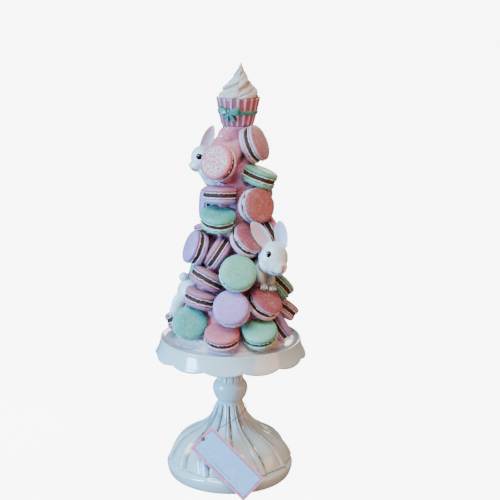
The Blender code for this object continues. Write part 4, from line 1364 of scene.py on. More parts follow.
class TOWER_OT_icing(bpy.types.Operator):
    """Spread the glossy icing that fills the gaps between the macarons"""
    bl_idname = "tower.icing"
    bl_label = "Icing"

    def execute(self, context):
        settings = context.scene.tower_icing
        stack = sandwiches()
        shapes = [self.cone(), self.puddle()]
        wide, thick = SLUG_SHARES
        for sandwich in stack:
            shapes.append(puck(sandwich, wide * sandwich.radius, thick * sandwich.half))
        shapes += self.webs(stack)
        shapes += [ball_mm(centre, radii) for centre, radii in ICING_LUMPS]
        mesh = melt("icing_between", shapes, ICING_VOXEL * MM, ICING_ROUNDS)
        points = mesh_rows(mesh, "co")
        normals = mesh_rows(mesh, "normal")
        swell = 0.35 * lumps(points, 14 * MM, 11) + 0.22 * lumps(points, 5 * MM, 12)
        near_plate = 1.0 - smooth_step(points[:, 2], 160.5 * MM, 170 * MM)
        points = points + normals * (swell * MM)[:, None]
        points[:, 2] = np.maximum(points[:, 2], (PLATE_HEIGHT - 3.6) * MM)
        mesh.vertices.foreach_set("co", points.reshape(-1))
        # painted shade between the macarons follows the share of the view that they block
        dress_mesh("icing_between", mesh, [self.gloss(settings)], "core", ["icing_core"],
                   stored={"plate": near_plate, "occlusion_shade": self.occlusion_shade(points, normals, stack),
                           "crown": smooth_step(points[:, 2], 352 * MM, 366 * MM)})
        return {"FINISHED"}

    def cone(self):
        """Core of the tower: a leaning cone with shallow lumps."""
        turn = np.radians(evenly(64))
        rings = []
        for level, radius in curve_through(CORE_OUTLINE, 4):
            lump = 1.4 * np.sin(5 * turn + 0.07 * level) * np.cos(0.11 * level + turn)
            rings.append(level_ring(evenly(64), radius + lump, CORE_BASE + level))
        return turned(leaning(rings) * MM, axis_point(CORE_BASE),
                      axis_point(CORE_BASE + CORE_OUTLINE[-1][0]))

    def puddle(self):
        """Icing that has run out on the plate, with an uneven edge."""
        turn = np.radians(evenly(96))
        edge = 62.5 + 2.2 * np.sin(5 * turn + 0.6) + 1.4 * np.sin(11 * turn + 2.0)
        rings = [level_ring(evenly(96), edge * share, PLATE_HEIGHT - 1.0 + rise) * MM
                 for share, rise in ((0.9, -3.4), (1.0, -1.0), (0.985, 0.2), (0.94, 0.9),
                                     (0.88, 1.4))]
        return turned(rings, axis_point(PLATE_HEIGHT - 4.4), axis_point(PLATE_HEIGHT + 0.4))

    def webs(self, stack):
        """Bridges of icing between neighbouring macarons."""
        made = []
        for i, first in enumerate(stack):
            for second in stack[i + 1:]:
                if np.linalg.norm(first.centre - second.centre) > WEB_SPAN * MM:
                    continue
                middle = 0.5 * (first.centre + second.centre)
                axis = np.array([lean(middle[2] / MM) * MM, 0.0, middle[2]])
                inward = axis - middle
                reach = np.linalg.norm(inward)
                middle = middle + inward / max(reach, 1e-9) * min(WEB_DEPTH * MM, reach)
                made.append(ball(middle, [WEB_RADIUS * MM] * 3, sides=14, rings=9))
        return made

    def occlusion_shade(self, points, normals, stack):
        """Share of the view from each point that macarons close to it block, for the painted
        shade.
        """
        tree = BVHTree.FromPolygons(*join_shapes(solid_shape(one.node) for one in stack))
        looks = look_round()
        return np.array([blocked_share(tree, Vector(point), Vector(normal), looks)
                         for point, normal in zip(points, normals)])

    def gloss(self, settings):
        icing = Finish("glossy_icing", roughness=0.32, coat_weight=settings.gloss,
                       coat_roughness=0.12)
        deep = tuple(0.66 * c for c in settings.rose)
        tone = icing.patches(settings.rose, settings.lavender, 0.024, 0.42)
        rosy = icing.mix(icing.stored("crown"), tone["Colour"], srgb(206, 122, 144))
        shade = icing.patches(rosy, deep, 0.009, 0.3)
        # painted shade: the icing darkens where the macarons crowd it
        occlusion_share = icing.times(icing.spread(icing.stored("occlusion_shade"), 0.3, 0.95), 0.85)
        with_painted_shade = icing.mix(occlusion_share, shade["Colour"], srgb(126, 78, 94))
        low = icing.mix(icing.stored("plate"), with_painted_shade, settings.puddle)
        specks = icing.flecks(0.0015, 0.2, 0.3)
        icing.colour(icing.mix(specks, low, (0.95, 0.93, 0.96)))
        icing.roughness(tone["Mask"], 0.26, 0.42)
        icing.bump(icing.noise(0.0035, 3.0), 0.0009, 0.7)
        return icing.material


# ---- the rabbits
def leaf_ear(base, tip, face, width, cup, thickness, rows=26, columns=15):
    """Closed leaf-shaped ear from base to tip that cups towards a side, in millimetres."""
    base = Vector(base)
    long = Vector(tip) - base
    length = long.length
    long.normalize()
    side = long.cross(Vector(face)).normalized()
    front = side.cross(long).normalized()
    points = []
    for inner in (1, 0):
        for i in range(rows):
            s = i / (rows - 1)
            half = width * (0.5 + 0.5 * sin(pi * min(1.0, 0.12 + 0.8 * s)) ** 0.9)
            half *= sqrt(max(0.0, 1.0 - max(0.0, (s - 0.45) / 0.55) ** 3.0))
            half = max(half, 0.05 * width)
            for j in range(columns):
                t = -1 + 2 * j / (columns - 1)
                bend = 1.15 * t
                across = half * sin(bend) / sin(1.15)
                depth = -cup * half / width * (cos(bend) - cos(1.15)) / 0.59
                shell = thickness * (1.0 - 0.55 * abs(t) ** 3) * (1.0 - 0.35 * s)
                depth += 0.0 if inner else -shell
                depth -= 0.06 * length * (s - 0.5) ** 2
                point = base + long * (length * s) + side * across + front * depth
                points.append(tuple(point * MM))
    return points, sheet_faces(rows, columns)


EARS_LEFT = (
    # base, tip, side that the hollow faces, half width, depth of the hollow, thickness
    ((-31, -9.5, 362), (-19.4, -8.5, 391.8), (0.25, -0.97, 0), 6.7, 2, 2),
    ((-28, 4.5, 362), (-21.5, 8.5, 386.5), (0.2, -0.95, 0), 5.2, 2, 2),
)
BODY_LEFT = (
    # centre, radii, axis of the third radius
    ((-31, -9, 356.6), (12, 12, 13.6), (-0.3, 0, 1)),
    ((-37, -9.6, 350.2), (6.8, 8.2, 8), (-0.6, 0, -0.6)),
    ((-41.6, -9.6, 350), (3.2, 4.4, 4), (-1, 0, -0.4)),
    ((-26, -9, 344), (9.6, 9.6, 12), (-0.6, 0, 0.8)),
    ((-20.5, -5, 337), (11, 11, 15), (-0.6, -0.05, 0.8)),
)
EARS_RIGHT = (
    ((39.8, -47.5, 270.5), (21.4, -49.6, 297.4), (0.3, -0.9, 0.3), 8.3, 2.8, 2.1),
    ((52.4, -45, 269), (49.4, -44.6, 298), (-0.5, -0.85, 0.1), 8.2, 3.6, 2.1),
)
BODY_RIGHT = (
    ((43.8, -44, 258.8), (15.6, 15, 16.4), (0.3, -0.2, -0.9)),
    ((45.6, -48.5, 252.6), (12.8, 11.6, 11.6), (0.4, -0.5, -0.6)),
    ((49.6, -52.6, 249.8), (9.2, 8.2, 8.2), (0.5, -0.6, -0.6)),
    ((37.4, -49.5, 253), (9.4, 8.8, 9.6), (0.2, -0.5, -0.6)),
    ((54.4, -55.6, 248.4), (3.6, 3.2, 3.4), (0.4, -0.8, 0)),
    ((34, -36, 244), (13, 13, 15), (0.2, -0.2, 1)),
    ((31, -45.4, 239), (5, 5, 13), (-0.24, -0.1, 1)),
    ((41.8, -43.5, 234), (4.8, 4.8, 12), (-0.1, -0.25, 1)),
    ((34.2, -46.6, 227.4), (4, 3.4, 5.4), (0.1, -1, -0.35)),
    ((42.8, -42.6, 225.6), (4, 3.4, 5.4), (0.2, -1, -0.35)),
)
TOES_RIGHT = (
    # paw centre, direction across the paw, forward and down
    ((34.6, -50.6, 226), (1, 0.1, 0)),
    ((43.8, -46.8, 223.8), (1, 0.2, 0)),
)
TOE_STEPS = (-1.5, -0.5, 0.5, 1.5)  # places of the toes across a paw
TOE_SPACING = 1.9
TOE_RADII = (1.05, 1.6, 2.5)
BODY_LOW = (
    ((-44, -13, 213), (14, 15, 14), (0, 0, 1)),
    ((-50.5, -15, 229), (5.3, 5.3, 5.3), (0, 0, 1)),
    ((-57, -17, 201), (6.6, 4.6, 12), (0.36, 0, 1)),
    ((-60.4, -18, 192.6), (5.6, 4.4, 5.4), (0.36, 0, 1)),
)
TOES_LOW = ((-64.5, -19, 188.6), (-61.6, -19, 188.6), (-58.7, -19, 188.6))
LOW_TOE_RADII = (1.7, 2.6, 2.6)
RABBIT_VOXEL = 0.62
RABBIT_ROUNDS = 9
# painted shade on the paws and lower legs: centre and radius in millimetres
PAW_SHADE_SPOTS = (((34.2, -47, 227), 13), ((42.8, -43, 226.5), 13), ((38, -44, 236), 13))
BLUSH_LEFT = (((-33.5, -19.5, 350), 4.5), ((-33.5, 1.5, 350), 4.5))
BLUSH_RIGHT = (((34.4, -56.8, 256), 5), ((60.5, -49, 251.5), 5))
# A face: the middle of the head and the way it looks, in millimetres, and the pixels of the
# picture where its near eye, its nose and its mouth lie. The looks of the near and the far eye
# are their upright, width and height, place of the glint and span of the lashes. The nose has
# its width, height and paint after its pixel.
FACE_LEFT = {
    "middle": (-36, -9.2, 353), "ahead": (-1.0, 0.0, -0.2), "eye": (199.0, 156.9),
    "looks": (((0.15, 0, 1), 6.8, 5.4, (-0.14, 0.2), (165, 25)),
              ((0.15, 0, 1), 6.8, 5.6, (0.14, 0.2), (15, 155))),
    "nose": ((193.0, 169.0), 3.2, 2.6, 3),
    "mouth": (((194.0, 170.6), (195.6, 171.4), (197.6, 171.2)),)}
FACE_RIGHT = {
    "middle": (45, -47, 256), "ahead": (0.8, -0.5, -0.35), "eye": (268.5, 254.6),
    "looks": (((0.1, 0, 1), 5.0, 5.9, (-0.14, 0.22), (10, 142)),
              ((0, 0, 1), 5.6, 6.2, (0.14, 0.22), (170, 38))),
    "nose": ((283.0, 267.4), 4.8, 4.2, 2),
    "mouth": (((270.6, 271.2), (274.5, 273.1), (279.3, 273.9), (282.6, 272.0)),
              ((282.9, 269.6), (282.8, 270.8), (282.6, 272.0)))}
EYE_RISE = 1.15  # mm that an eye and a nose stand out of the fur
NOSE_RISE = 1.1
LASH_RADIUS = 0.55
LASH_TAPER = (0.25, 0.6, 0.85, 1, 1, 1, 1, 1, 1, 0.5)
MOUTH_RADIUS = 0.7


def ear_hollow(points, normals, ears):
    """1 on the cupped inner face of the ears, fading to 0 at their rims."""
    result = np.zeros(len(points))
    for base, tip, face, width, _, _ in ears:
        base = np.array(base) * MM
        long = np.array(tip) * MM - base
        length = np.linalg.norm(long)
        long /= length
        face = np.array(face)
        face = face - face.dot(long) * long
        face /= np.linalg.norm(face)
        side = np.cross(long, face)
        local = points - base
        s = local @ long / length
        across = np.abs(local @ side) / (width * MM)
        near = np.abs(local @ face) < 7 * MM
        mask = smooth_step(normals @ face, 0.15, 0.7) * near
        mask = mask * (1 - smooth_step(across, 0.55, 0.85)) * (across < 1.4)
        mask = mask * smooth_step(s, 0.05, 0.22) * (1 - smooth_step(s, 0.8, 0.95))
        result = np.maximum(result, mask)
    return result


def near_spots(points, spots):
    """1 at the given spots, fading over their radius, all in millimetres."""
    result = np.zeros(len(points))
    for centre, radius in spots:
        away = np.linalg.norm(points - np.array(centre) * MM, axis=1)
        result = np.maximum(result, 1 - smooth_step(away, 0.35 * radius * MM, radius * MM))
    return result


def surface_frame(tree, origin, direction):
    """Where a line first meets a skin, with the skin's normal there."""
    hit, normal, _, _ = tree.ray_cast(origin, direction)
    if hit is None:
        raise RuntimeError("a painted feature misses the rabbit that should carry it")
    if normal.dot(direction) > 0:
        normal = -normal
    return hit, normal


def skin_axes(normal, upright):
    """Unit vectors sideways and upwards along a skin."""
    side = Vector(upright).cross(normal).normalized()
    return side, normal.cross(side)


def dome(centre, normal, upright, width, height, rise, sink=0.2, sides=28, rows=7):
    """Low oval dome on a skin, its long way upright, sunk a little at the edge."""
    normal = normal.normalized()
    side, up = skin_axes(normal, upright)
    rings = []
    for row in range(rows):
        share = cos(0.5 * pi * row / rows)
        lift = rise * sin(0.5 * pi * row / rows) - sink
        ring = []
        for turn in np.radians(evenly(sides)).tolist():
            offset = (side * (0.5 * width * share * cos(turn))
                      + up * (0.5 * height * share * sin(turn)) + normal * lift)
            ring.append(tuple(centre + offset * MM))
        rings.append(ring)
    return turned(rings, centre - normal * (sink + 0.3) * MM, centre + normal * (rise - sink) * MM)


class TOWER_OT_rabbits(bpy.types.Operator):
    """Model the three rabbits with their ears, eyes, noses and painted blush"""
    bl_idname = "tower.rabbits"
    bl_label = "Rabbits"

    def execute(self, context):
        settings = context.scene.tower_rabbits
        self.stage = context.scene.tower_stage
        self.fur = self.fur_finish(settings)
        self.paints = self.small_paints(settings)
        self.left_rabbit()
        self.right_rabbit()
        self.low_rabbit()
        return {"FINISHED"}

    def body(self, name, parts, ears, spots, node):
        """Melt a rabbit from its parts and return what lines of sight can meet."""
        shapes = [ball_mm(centre, radii, axis) for centre, radii, axis in parts]
        shapes += [leaf_ear(*ear) for ear in ears]
        mesh = melt(name, shapes, RABBIT_VOXEL * MM, RABBIT_ROUNDS)
        points = mesh_rows(mesh, "co")
        normals = mesh_rows(mesh, "normal")
        # the stored values carry the ear colour, the blush and the painted shade on the paws and
        # legs
        dress_mesh(name, mesh, [self.fur], "rabbit", [node],
                   stored={"hollow": ear_hollow(points, normals, ears),
                           "blush": near_spots(points, spots), "paw_shade": near_spots(points, PAW_SHADE_SPOTS)})
        return BVHTree.FromPolygons(*mesh_shape(mesh))

    def face(self, name, tree, middle, ahead, eye, looks, nose, mouth):
        """Eyes, lashes, nose and mouth as one painted piece that lies on the skin."""
        shapes = []
        zones = []

        def keep(shape, zone):
            shapes.append(shape)
            zones.extend([zone] * len(shape[1]))

        def near_skin(point, proud):
            near, outward, _, _ = tree.find_nearest(point)
            return near + outward * proud * MM

        rays = (pixel_ray(self.stage, eye), self.mirrored(tree, eye, middle, ahead))
        for ray, (upright, width, height, glint, lash) in zip(rays, looks):
            centre, normal = surface_frame(tree, *ray)
            keep(dome(centre, normal, upright, width, height, EYE_RISE), 0)
            side, up = skin_axes(normal, upright)
            spot = (centre + side * (glint[0] * width * MM) + up * (glint[1] * height * MM)
                    + normal * 0.62 * MM)
            keep(dome(spot, normal, upright, 0.2 * width, 0.2 * height, 0.3, 0.0, 14, 4), 1)
            path = []
            for i in range(9):
                t = i / 8
                turn = radians(lash[0] + (lash[1] - lash[0]) * t)
                reach = 1.06 * (0.5 + 0.02 * t) * MM
                point = (centre + side * (width * reach * cos(turn))
                         + up * (height * reach * sin(turn)))
                path.append(near_skin(point, 0.1))
            away = (path[-1] - centre).normalized()
            onward = (path[-1] - path[-2]).normalized()
            path.append(near_skin(path[-1] + (away + 0.3 * onward) * 2.2 * MM, 0.3))
            keep(tube(path, LASH_RADIUS * MM, 8, LASH_TAPER), 0)
        pixel, width, height, zone = nose
        centre, normal = surface_frame(tree, *pixel_ray(self.stage, pixel))
        keep(dome(centre, normal, UP, width, height, NOSE_RISE), zone)
        for line in mouth:
            path = []
            for pixel in line:
                hit, outward = surface_frame(tree, *pixel_ray(self.stage, pixel))
                path.append(tuple(hit + outward * 0.02 * MM))
            smooth = curve_through(path, 4)
            taper = [0.35 + 0.65 * sin(share) for share in np.linspace(0, pi, len(smooth))]
            keep(tube(smooth, MOUTH_RADIUS * MM, 6, taper), 4)
        points, faces = join_shapes(shapes)
        fix_normals(make_piece(name, points, faces, self.paints, "rabbit", choose=zones))

    def mirrored(self, tree, pixel, centre, ahead):
        """Line that meets the skin where a feature is mirrored across the face's middle."""
        hit, _ = surface_frame(tree, *pixel_ray(self.stage, pixel))
        across = Vector(ahead).cross(UP).normalized()
        centre = Vector(centre) * MM
        offset = hit - centre
        other = centre + offset - 2 * offset.dot(across) * across
        inward = (centre - other).normalized()
        return other - inward * 12 * MM, inward

    def left_rabbit(self):
        tree = self.body("smooth_rabbit_left", BODY_LEFT, EARS_LEFT, BLUSH_LEFT, "rabbit_left")
        self.face("face_left", tree, **FACE_LEFT)

    def right_rabbit(self):
        toes = []
        for centre, across in TOES_RIGHT:
            across = Vector(across).normalized()
            for step in TOE_STEPS:
                place = Vector(centre) + across * (TOE_SPACING * step) + Vector((0, 1.0, 1.3))
                toes.append(ball_mm(place, TOE_RADII, (0.1 * step, -0.75, -0.65)))
        tree = self.body("smooth_rabbit_right", BODY_RIGHT, EARS_RIGHT, BLUSH_RIGHT,
                         "rabbit_right")
        self.toes("toes_right", toes, 0.4)
        self.face("face_right", tree, **FACE_RIGHT)

    def low_rabbit(self):
        toes = [ball_mm(centre, LOW_TOE_RADII) for centre in TOES_LOW]
        self.body("smooth_rabbit_low", BODY_LOW, (), (), "rabbit_low")
        self.toes("toes_low", toes, 0.0)

    def toes(self, name, shapes, paw_shade_share):
        """Toes of a paw; the last argument is the share of painted paw shade that they take."""
        points, faces = join_shapes(shapes)
        make_piece(name, points, faces, [self.fur], "rabbit",
                   stored={"paw_shade": np.full(len(points), paw_shade_share)})

    def fur_finish(self, settings):
        fur = Finish("satin_rabbit", roughness=0.34, coat_weight=0.25, coat_roughness=0.25)
        tone = fur.patches(settings.fur, srgb(204, 226, 236), 0.012, 0.4)
        # painted shade: the paws and legs darken towards a dim brown
        dusky = fur.mix(fur.times(fur.stored("paw_shade"), 0.85), tone["Colour"], srgb(130, 110, 104))
        ears = fur.mix(fur.stored("hollow"), dusky, settings.ear)
        fur.colour(fur.mix(fur.times(fur.stored("blush"), 0.75), ears, settings.blush))
        fur.roughness(fur.noise(0.006, 3.0), 0.28, 0.42)
        fur.bump(fur.noise(0.0016, 3.0), 0.00018, 0.4)
        return fur.material

    def small_paints(self, settings):
        paints = []
        for name, colour, other, rough in (
                ("eye_black", settings.eye, srgb(30, 28, 32), 0.06),
                ("eye_glint", srgb(206, 212, 222), srgb(236, 240, 246), 0.2),
                ("nose_orange", settings.nose, srgb(232, 160, 130), 0.32),
                ("nose_pink", srgb(150, 112, 120), srgb(176, 136, 142), 0.35),
                ("mouth_line", srgb(66, 52, 52), srgb(50, 40, 40), 0.5)):
            paint = Finish(name, roughness=rough, coat_weight=0.3)
            paints.append(paint.painted(colour, other, 0.0015, 0.3, (rough, rough + 0.08),
                                        (0.0005, 0.00003, 0.4)))
            if name == "eye_black":
                paint.shader.inputs["Specular IOR Level"].default_value = 0.12
                paint.shader.inputs["Coat Weight"].default_value = 0.0
        return paints


# ---- the cupcake
CASE_BOTTOM = 391.0
CASE_TOP = 420.5
CASE_BOTTOM_RADIUS = 16.6
CASE_TOP_RADIUS = 22.8
CASE_PLEATS = 18
CASE_PLEAT_DEPTH = 1.1
RIBBON_HEIGHT = 405.5
RIBBON_WIDTH = 4.2
RIBBON_THICKNESS = 0.55
BOW_AZIMUTH = -25.0
SWIRL_BASE = CASE_TOP - 1.75
SWIRL_TIP = 457.0
SWIRL_LOBES = 5
SWIRL_TURN = 9.5  # degrees of twist for each millimetre of height
SWIRL_LEAN = 0.05
SWIRL_AXIS = ((0.418, 0.457), (0.006, 0.009))  # heights and the axis' shift to +X, metres
SWIRL_OUTLINE = ((0, 17.6), (1, 19.2), (2.4, 20.8), (4.4, 20.2), (7.2, 18.6), (12, 15.1),
                 (16.6, 11.6), (20.6, 8.7), (24.6, 6.3), (29, 4), (32.6, 2.3), (35.6, 1.1),
                 (37.2, 0.55))


def rib(azimuth):
    """1 on the rounded ribs of the paper case and 0 in the troughs."""
    wave = 0.5 + 0.5 * np.cos(np.radians(azimuth) * CASE_PLEATS)
    return smooth_step(wave, 0.52, 0.9)


class TOWER_OT_case(bpy.types.Operator):
    """Fold the ribbed paper case of the cupcake"""
    bl_idname = "tower.case"
    bl_label = "Paper case"

    def execute(self, context):
        settings = context.scene.tower_cupcake
        azimuth = evenly(CASE_PLEATS * 14)
        ribs = rib(azimuth)
        rings = []
        stored = []
        span = CASE_TOP - CASE_BOTTOM

        def add(radius, height, ribbed):
            rings.append(level_ring(azimuth, radius, height))
            stored.append(np.broadcast_to(ribbed, azimuth.shape))

        add(0.5 * CASE_BOTTOM_RADIUS, CASE_BOTTOM, 0.0)
        add(CASE_BOTTOM_RADIUS - 1.4, CASE_BOTTOM, 0.0)
        for share in np.linspace(0.02, 1.0, 22):
            spread_out = CASE_BOTTOM_RADIUS + share * (CASE_TOP_RADIUS - CASE_BOTTOM_RADIUS)
            round_in = 0.9 * (1 - smooth_step(share, 0.0, 0.09))
            swell = 0.25 * sin(pi * share)
            depth = CASE_PLEAT_DEPTH * (0.75 + 0.35 * share)
            zigzag = 0.55 * (ribs - 0.5) * smooth_step(share, 0.8, 1.0)
            add(spread_out - round_in + swell + depth * (ribs - 0.55),
                CASE_BOTTOM + share * span + zigzag - 0.3 * smooth_step(share, 0.8, 1.0), ribs)
        top = CASE_TOP_RADIUS + 1.1 * CASE_PLEAT_DEPTH * (ribs - 0.55)
        edge = 0.55 * (ribs - 0.5)
        add(top - 0.45, CASE_TOP + edge - 0.05, ribs)
        add(top - 1.0, CASE_TOP + edge - 0.35, 0.4 * ribs)
        add(CASE_TOP_RADIUS - 2.4, CASE_TOP - 1.6, 0.0)
        add(CASE_TOP_RADIUS - 6.0, CASE_TOP - 1.9, 0.0)
        points, faces = turned(leaning(rings) * MM,
                               axis_point(CASE_BOTTOM),
                               (lean(CASE_TOP) * MM, 0, (CASE_TOP - 1.9) * MM))
        make_piece("ribbed_case", points, faces, [self.paper(settings)], "case",
                   ["cupcake_case"], stored={"rib": np.concatenate(stored + [np.zeros(2)])})
        return {"FINISHED"}

    def paper(self, settings):
        paper = Finish("lacquered_case", roughness=0.3, coat_weight=0.5, coat_roughness=0.1)
        tone = paper.patches(settings.trough_shaded, srgb(172, 80, 92), 0.006, 0.4)
        light = paper.patches(settings.rib, srgb(234, 184, 200), 0.004, 0.36)
        off_middle = math_node(paper.tree, "SUBTRACT", paper.noise(0.002, 2.0), 0.5)
        raised = math_node(paper.tree, "ADD", paper.stored("rib"), paper.times(off_middle, 0.5))
        # painted highlight on the ribs and painted shade in the troughs
        mask = paper.spread(raised, 0.35, 0.8)
        paper.colour(paper.mix(mask, tone["Colour"], light["Colour"]))
        paper.roughness(mask, 0.34, 0.24)
        paper.bump(paper.crumb(0.0012), 0.0001, 0.5)
        return paper.material


class TOWER_OT_swirl(bpy.types.Operator):
    """Pipe the sugared swirl on the cupcake"""
    bl_idname = "tower.swirl"
    bl_label = "Swirl"

    def execute(self, context):
        settings = context.scene.tower_cupcake
        azimuth = evenly(168)
        rings = []
        folds = []
        for level, radius in curve_through(SWIRL_OUTLINE, 9):
            height = SWIRL_BASE + level
            phase = np.radians(SWIRL_LOBES * (azimuth - SWIRL_TURN * level))
            broad = np.abs(np.cos(0.25 * phase + 0.4)) ** 0.6
            crest = 0.45 * np.abs(np.cos(0.5 * phase)) ** 0.75 + 0.55 * broad
            depth = 0.03 + 0.25 * float(smooth_step(level, 0.6, 8.0))
            reach = radius * (1.0 + depth * (crest - 0.62))
            ring = level_ring(azimuth, reach, height)
            ring[:, 0] += SWIRL_LEAN * level
            rings.append(ring)
            folds.append(1.0 - crest)
        tip = Vector(axis_point(SWIRL_TIP))
        tip.x += SWIRL_LEAN * (SWIRL_TIP - SWIRL_BASE) * MM
        points, faces = turned(leaning(rings) * MM, axis_point(SWIRL_BASE), tip)
        points = np.array(points)
        out = points * (1.0, 1.0, 0.0)
        out[:, 0] -= np.interp(points[:, 2], *SWIRL_AXIS)
        reach = np.linalg.norm(out, axis=1)
        out /= np.maximum(reach, 1e-6)[:, None]
        grit = (0.42 * lumps(points, 2.0 * MM, 21, 2) + 0.7 * lumps(points, 6 * MM, 22)) * MM
        points = points + out * (grit * smooth_step(reach, 0.5 * MM, 5 * MM))[:, None]
        points[:, 2] = np.minimum(points[:, 2], SWIRL_TIP * MM)
        make_piece("piped_swirl", points, faces, [self.sugar(settings)], "icing",
                   ["icing_swirl"], stored={"fold": np.concatenate(folds + [np.zeros(2)])})
        return {"FINISHED"}

    def sugar(self, settings):
        sugar = Finish("sugared_swirl", roughness=0.75)
        tone = sugar.patches(settings.icing, srgb(226, 222, 210), 0.006, 0.42)
        deep = sugar.spread(sugar.stored("fold"), 0.22, 0.7)
        grainy = sugar.patches(tone["Colour"], srgb(186, 184, 176), 0.0013, 0.36)
        folded = sugar.mix(deep, grainy["Colour"], settings.shade)
        specks = sugar.flecks(0.0008, 0.2, 0.32)
        sugar.colour(sugar.mix(specks, folded, (0.98, 0.98, 0.97)))
        sugar.roughness(specks, 0.78, 0.35)
        sugar.bump(sugar.crumb(0.0014), 0.0016, 1.0)
        return sugar.material


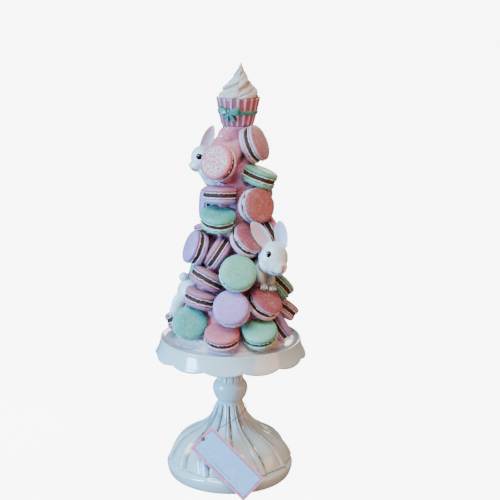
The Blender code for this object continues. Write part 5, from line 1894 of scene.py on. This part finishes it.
class TOWER_OT_ribbon(bpy.types.Operator):
    """Tie the ribbon round the case and its bow"""
    bl_idname = "tower.ribbon"
    bl_label = "Ribbon"

    def execute(self, context):
        settings = context.scene.tower_cupcake
        share = (RIBBON_HEIGHT - CASE_BOTTOM) / (CASE_TOP - CASE_BOTTOM)
        slope = (CASE_TOP_RADIUS - CASE_BOTTOM_RADIUS) / (CASE_TOP - CASE_BOTTOM)
        self.inner = CASE_BOTTOM_RADIUS + share * (CASE_TOP_RADIUS - CASE_BOTTOM_RADIUS) + 0.55
        shapes = [self.band(slope)]
        shift = Vector((lean(RIBBON_HEIGHT), 0, 0))
        self.outward = around(BOW_AZIMUTH, 1.0, 0.0)
        self.sideways = around(BOW_AZIMUTH + 90, 1.0, 0.0)
        self.knot = around(BOW_AZIMUTH, self.inner + 1.5, RIBBON_HEIGHT + 2.3) + shift
        for side in (-1, 1):
            shapes += [self.loop(side), self.tail(side)]
        knot = melt("knot", [ball_mm(tuple(self.knot + 1.0 * self.outward), (1.9, 1.7, 2.3),
                                     (0, 0, 1), self.outward)], 0.35 * MM, 2)
        points, faces = join_shapes(shapes + [mesh_shape(knot)])
        fix_normals(make_piece("ribbon_and_bow", points, faces, [self.silk(settings)], "ribbon",
                               ["ribbon_bow"], sharp=60))
        return {"FINISHED"}

    def band(self, slope):
        """Flat band with soft edges that follows the case."""
        sides = 216
        half = 0.5 * RIBBON_WIDTH
        section = ((0.0, -half), (0.55, -half), (0.85, -half + 0.35), (0.92, -0.6), (0.92, 0.6),
                   (0.85, half - 0.35), (0.55, half), (0.0, half))
        points = []
        for azimuth in evenly(sides).tolist():
            sag = 0.22 * sin(radians(3 * azimuth) + 1.0)
            wave = 0.12 * cos(radians(azimuth) * CASE_PLEATS)
            for depth, rise in section:
                radius = self.inner + depth + slope * rise + wave
                point = around(azimuth, radius, RIBBON_HEIGHT + rise + sag)
                point.x += lean(RIBBON_HEIGHT)
                points.append(tuple(point * MM))
        return points, torus_quads(sides, len(section))

    def strip(self, stations):
        """Closed strip of ribbon over stations: point, upright way, half width, outward way."""
        section = ((-1, -0.5), (-0.6, -0.6), (0, -0.5), (0.6, -0.6), (1, -0.5),
                   (1, 0.5), (0.6, 0.6), (0, 0.5), (-0.6, 0.6), (-1, 0.5))
        rings = []
        for point, up, half, out in stations:
            ring = []
            for across, proud in section:
                crease = -0.35 * cos(pi * across)
                ring.append(tuple((point + up * (half * across)
                                   + out * (RIBBON_THICKNESS * proud + crease * 0.5)) * MM))
            rings.append(ring)
        return turned(rings, stations[0][0] * MM, stations[-1][0] * MM)

    def loop(self, side):
        """One loop of the bow: out along the case and back in front, wider at its end."""
        stations = []
        steps = 30
        for i in range(steps + 1):
            turn = pi * (0.04 + 0.92 * i / steps)
            along = 11.2 * sin(turn) ** 0.75
            depth = 2.2 - 2.2 * cos(turn) + 0.9 * sin(turn)
            curl = -0.012 * along * along
            point = (self.knot + self.sideways * (side * along)
                     + self.outward * (depth - 1.0 + curl) + UP * (0.6 * sin(turn)))
            upright = (UP + self.sideways * (0.16 * side)).normalized()
            out = self.outward * -cos(turn) + self.sideways * (side * sin(turn))
            stations.append((point, upright, 1.4 + 3.7 * sin(turn) ** 0.9, out.normalized()))
        return self.strip(stations)

    def tail(self, side):
        """Tail that hangs from the knot and ends in a notch."""
        rows = 14
        way = (0.42 * side * self.sideways - UP).normalized()
        broad = way.cross(self.outward).normalized()
        points = []
        for layer in (1, -1):
            for i in range(rows):
                t = i / (rows - 1)
                half = 1.0 + 1.3 * t
                for across in (-1, -0.5, 0, 0.5, 1):
                    notch = 1.7 * (1 - abs(across)) if i == rows - 1 else 0.0
                    wave = 0.45 * sin(5 * t) * cos(across)
                    point = (self.knot + way * (12.2 * t - notch) + broad * (half * across)
                             + self.outward * (0.55 + wave - 2.0 * t + 0.32 * layer))
                    points.append(tuple(point * MM))
        return points, sheet_faces(rows, 5)

    def silk(self, settings):
        silk = Finish("satin_ribbon", roughness=0.4, coat_weight=0.2, sheen_weight=0.2)
        tone = silk.patches(settings.ribbon, srgb(62, 158, 150), 0.004, 0.4)
        silk.colour(tone["Colour"])
        silk.roughness(tone["Mask"], 0.34, 0.5)
        weave = shader_node(silk.tree, "ShaderNodeTexWave",
                            {"Vector": silk.place, "Scale": 900.0, "Distortion": 0.6},
                            bands_direction="Z")
        silk.bump(weave.outputs["Fac"], 0.00005, 0.5)
        return silk.material


# ---- panel and running
OPERATORS = (TOWER_OT_stage, TOWER_OT_string, TOWER_OT_tag, TOWER_OT_stand, TOWER_OT_icing,
             TOWER_OT_macarons, TOWER_OT_rabbits, TOWER_OT_case, TOWER_OT_swirl,
             TOWER_OT_ribbon)
CHOICES = (("tower_stage", StageChoices), ("tower_string", StringChoices),
           ("tower_tag", TagChoices), ("tower_stand", StandChoices),
           ("tower_icing", IcingChoices), ("tower_macarons", MacaronChoices),
           ("tower_rabbits", RabbitChoices), ("tower_cupcake", CupcakeChoices))


class TOWER_PT_sidebar(bpy.types.Panel):
    """Buttons for every group of pieces, with the sizes and colours that they use"""
    bl_idname = "TOWER_PT_sidebar"
    bl_label = "Macaron tower"
    bl_space_type = "VIEW_3D"
    bl_region_type = "UI"
    bl_category = "Tower"

    def draw(self, context):
        for operator in OPERATORS:
            self.layout.operator(operator.bl_idname)
        for label, group in CHOICES:
            box = self.layout.box()
            box.label(text=group.__name__)
            for key in group.__annotations__:
                box.prop(getattr(context.scene, label), key)


def register():
    for _, group in CHOICES:
        bpy.utils.register_class(group)
    for operator in OPERATORS:
        bpy.utils.register_class(operator)
    bpy.utils.register_class(TOWER_PT_sidebar)
    for label, group in CHOICES:
        setattr(bpy.types.Scene, label, bpy.props.PointerProperty(type=group))


def unregister():
    for label, _ in CHOICES:
        delattr(bpy.types.Scene, label)
    bpy.utils.unregister_class(TOWER_PT_sidebar)
    for operator in reversed(OPERATORS):
        bpy.utils.unregister_class(operator)
    for _, group in reversed(CHOICES):
        bpy.utils.unregister_class(group)


def main():
    register()
    for operator in OPERATORS:
        group, name = operator.bl_idname.split(".")
        getattr(getattr(bpy.ops, group), name)()


if __name__ == "__main__":
    main()
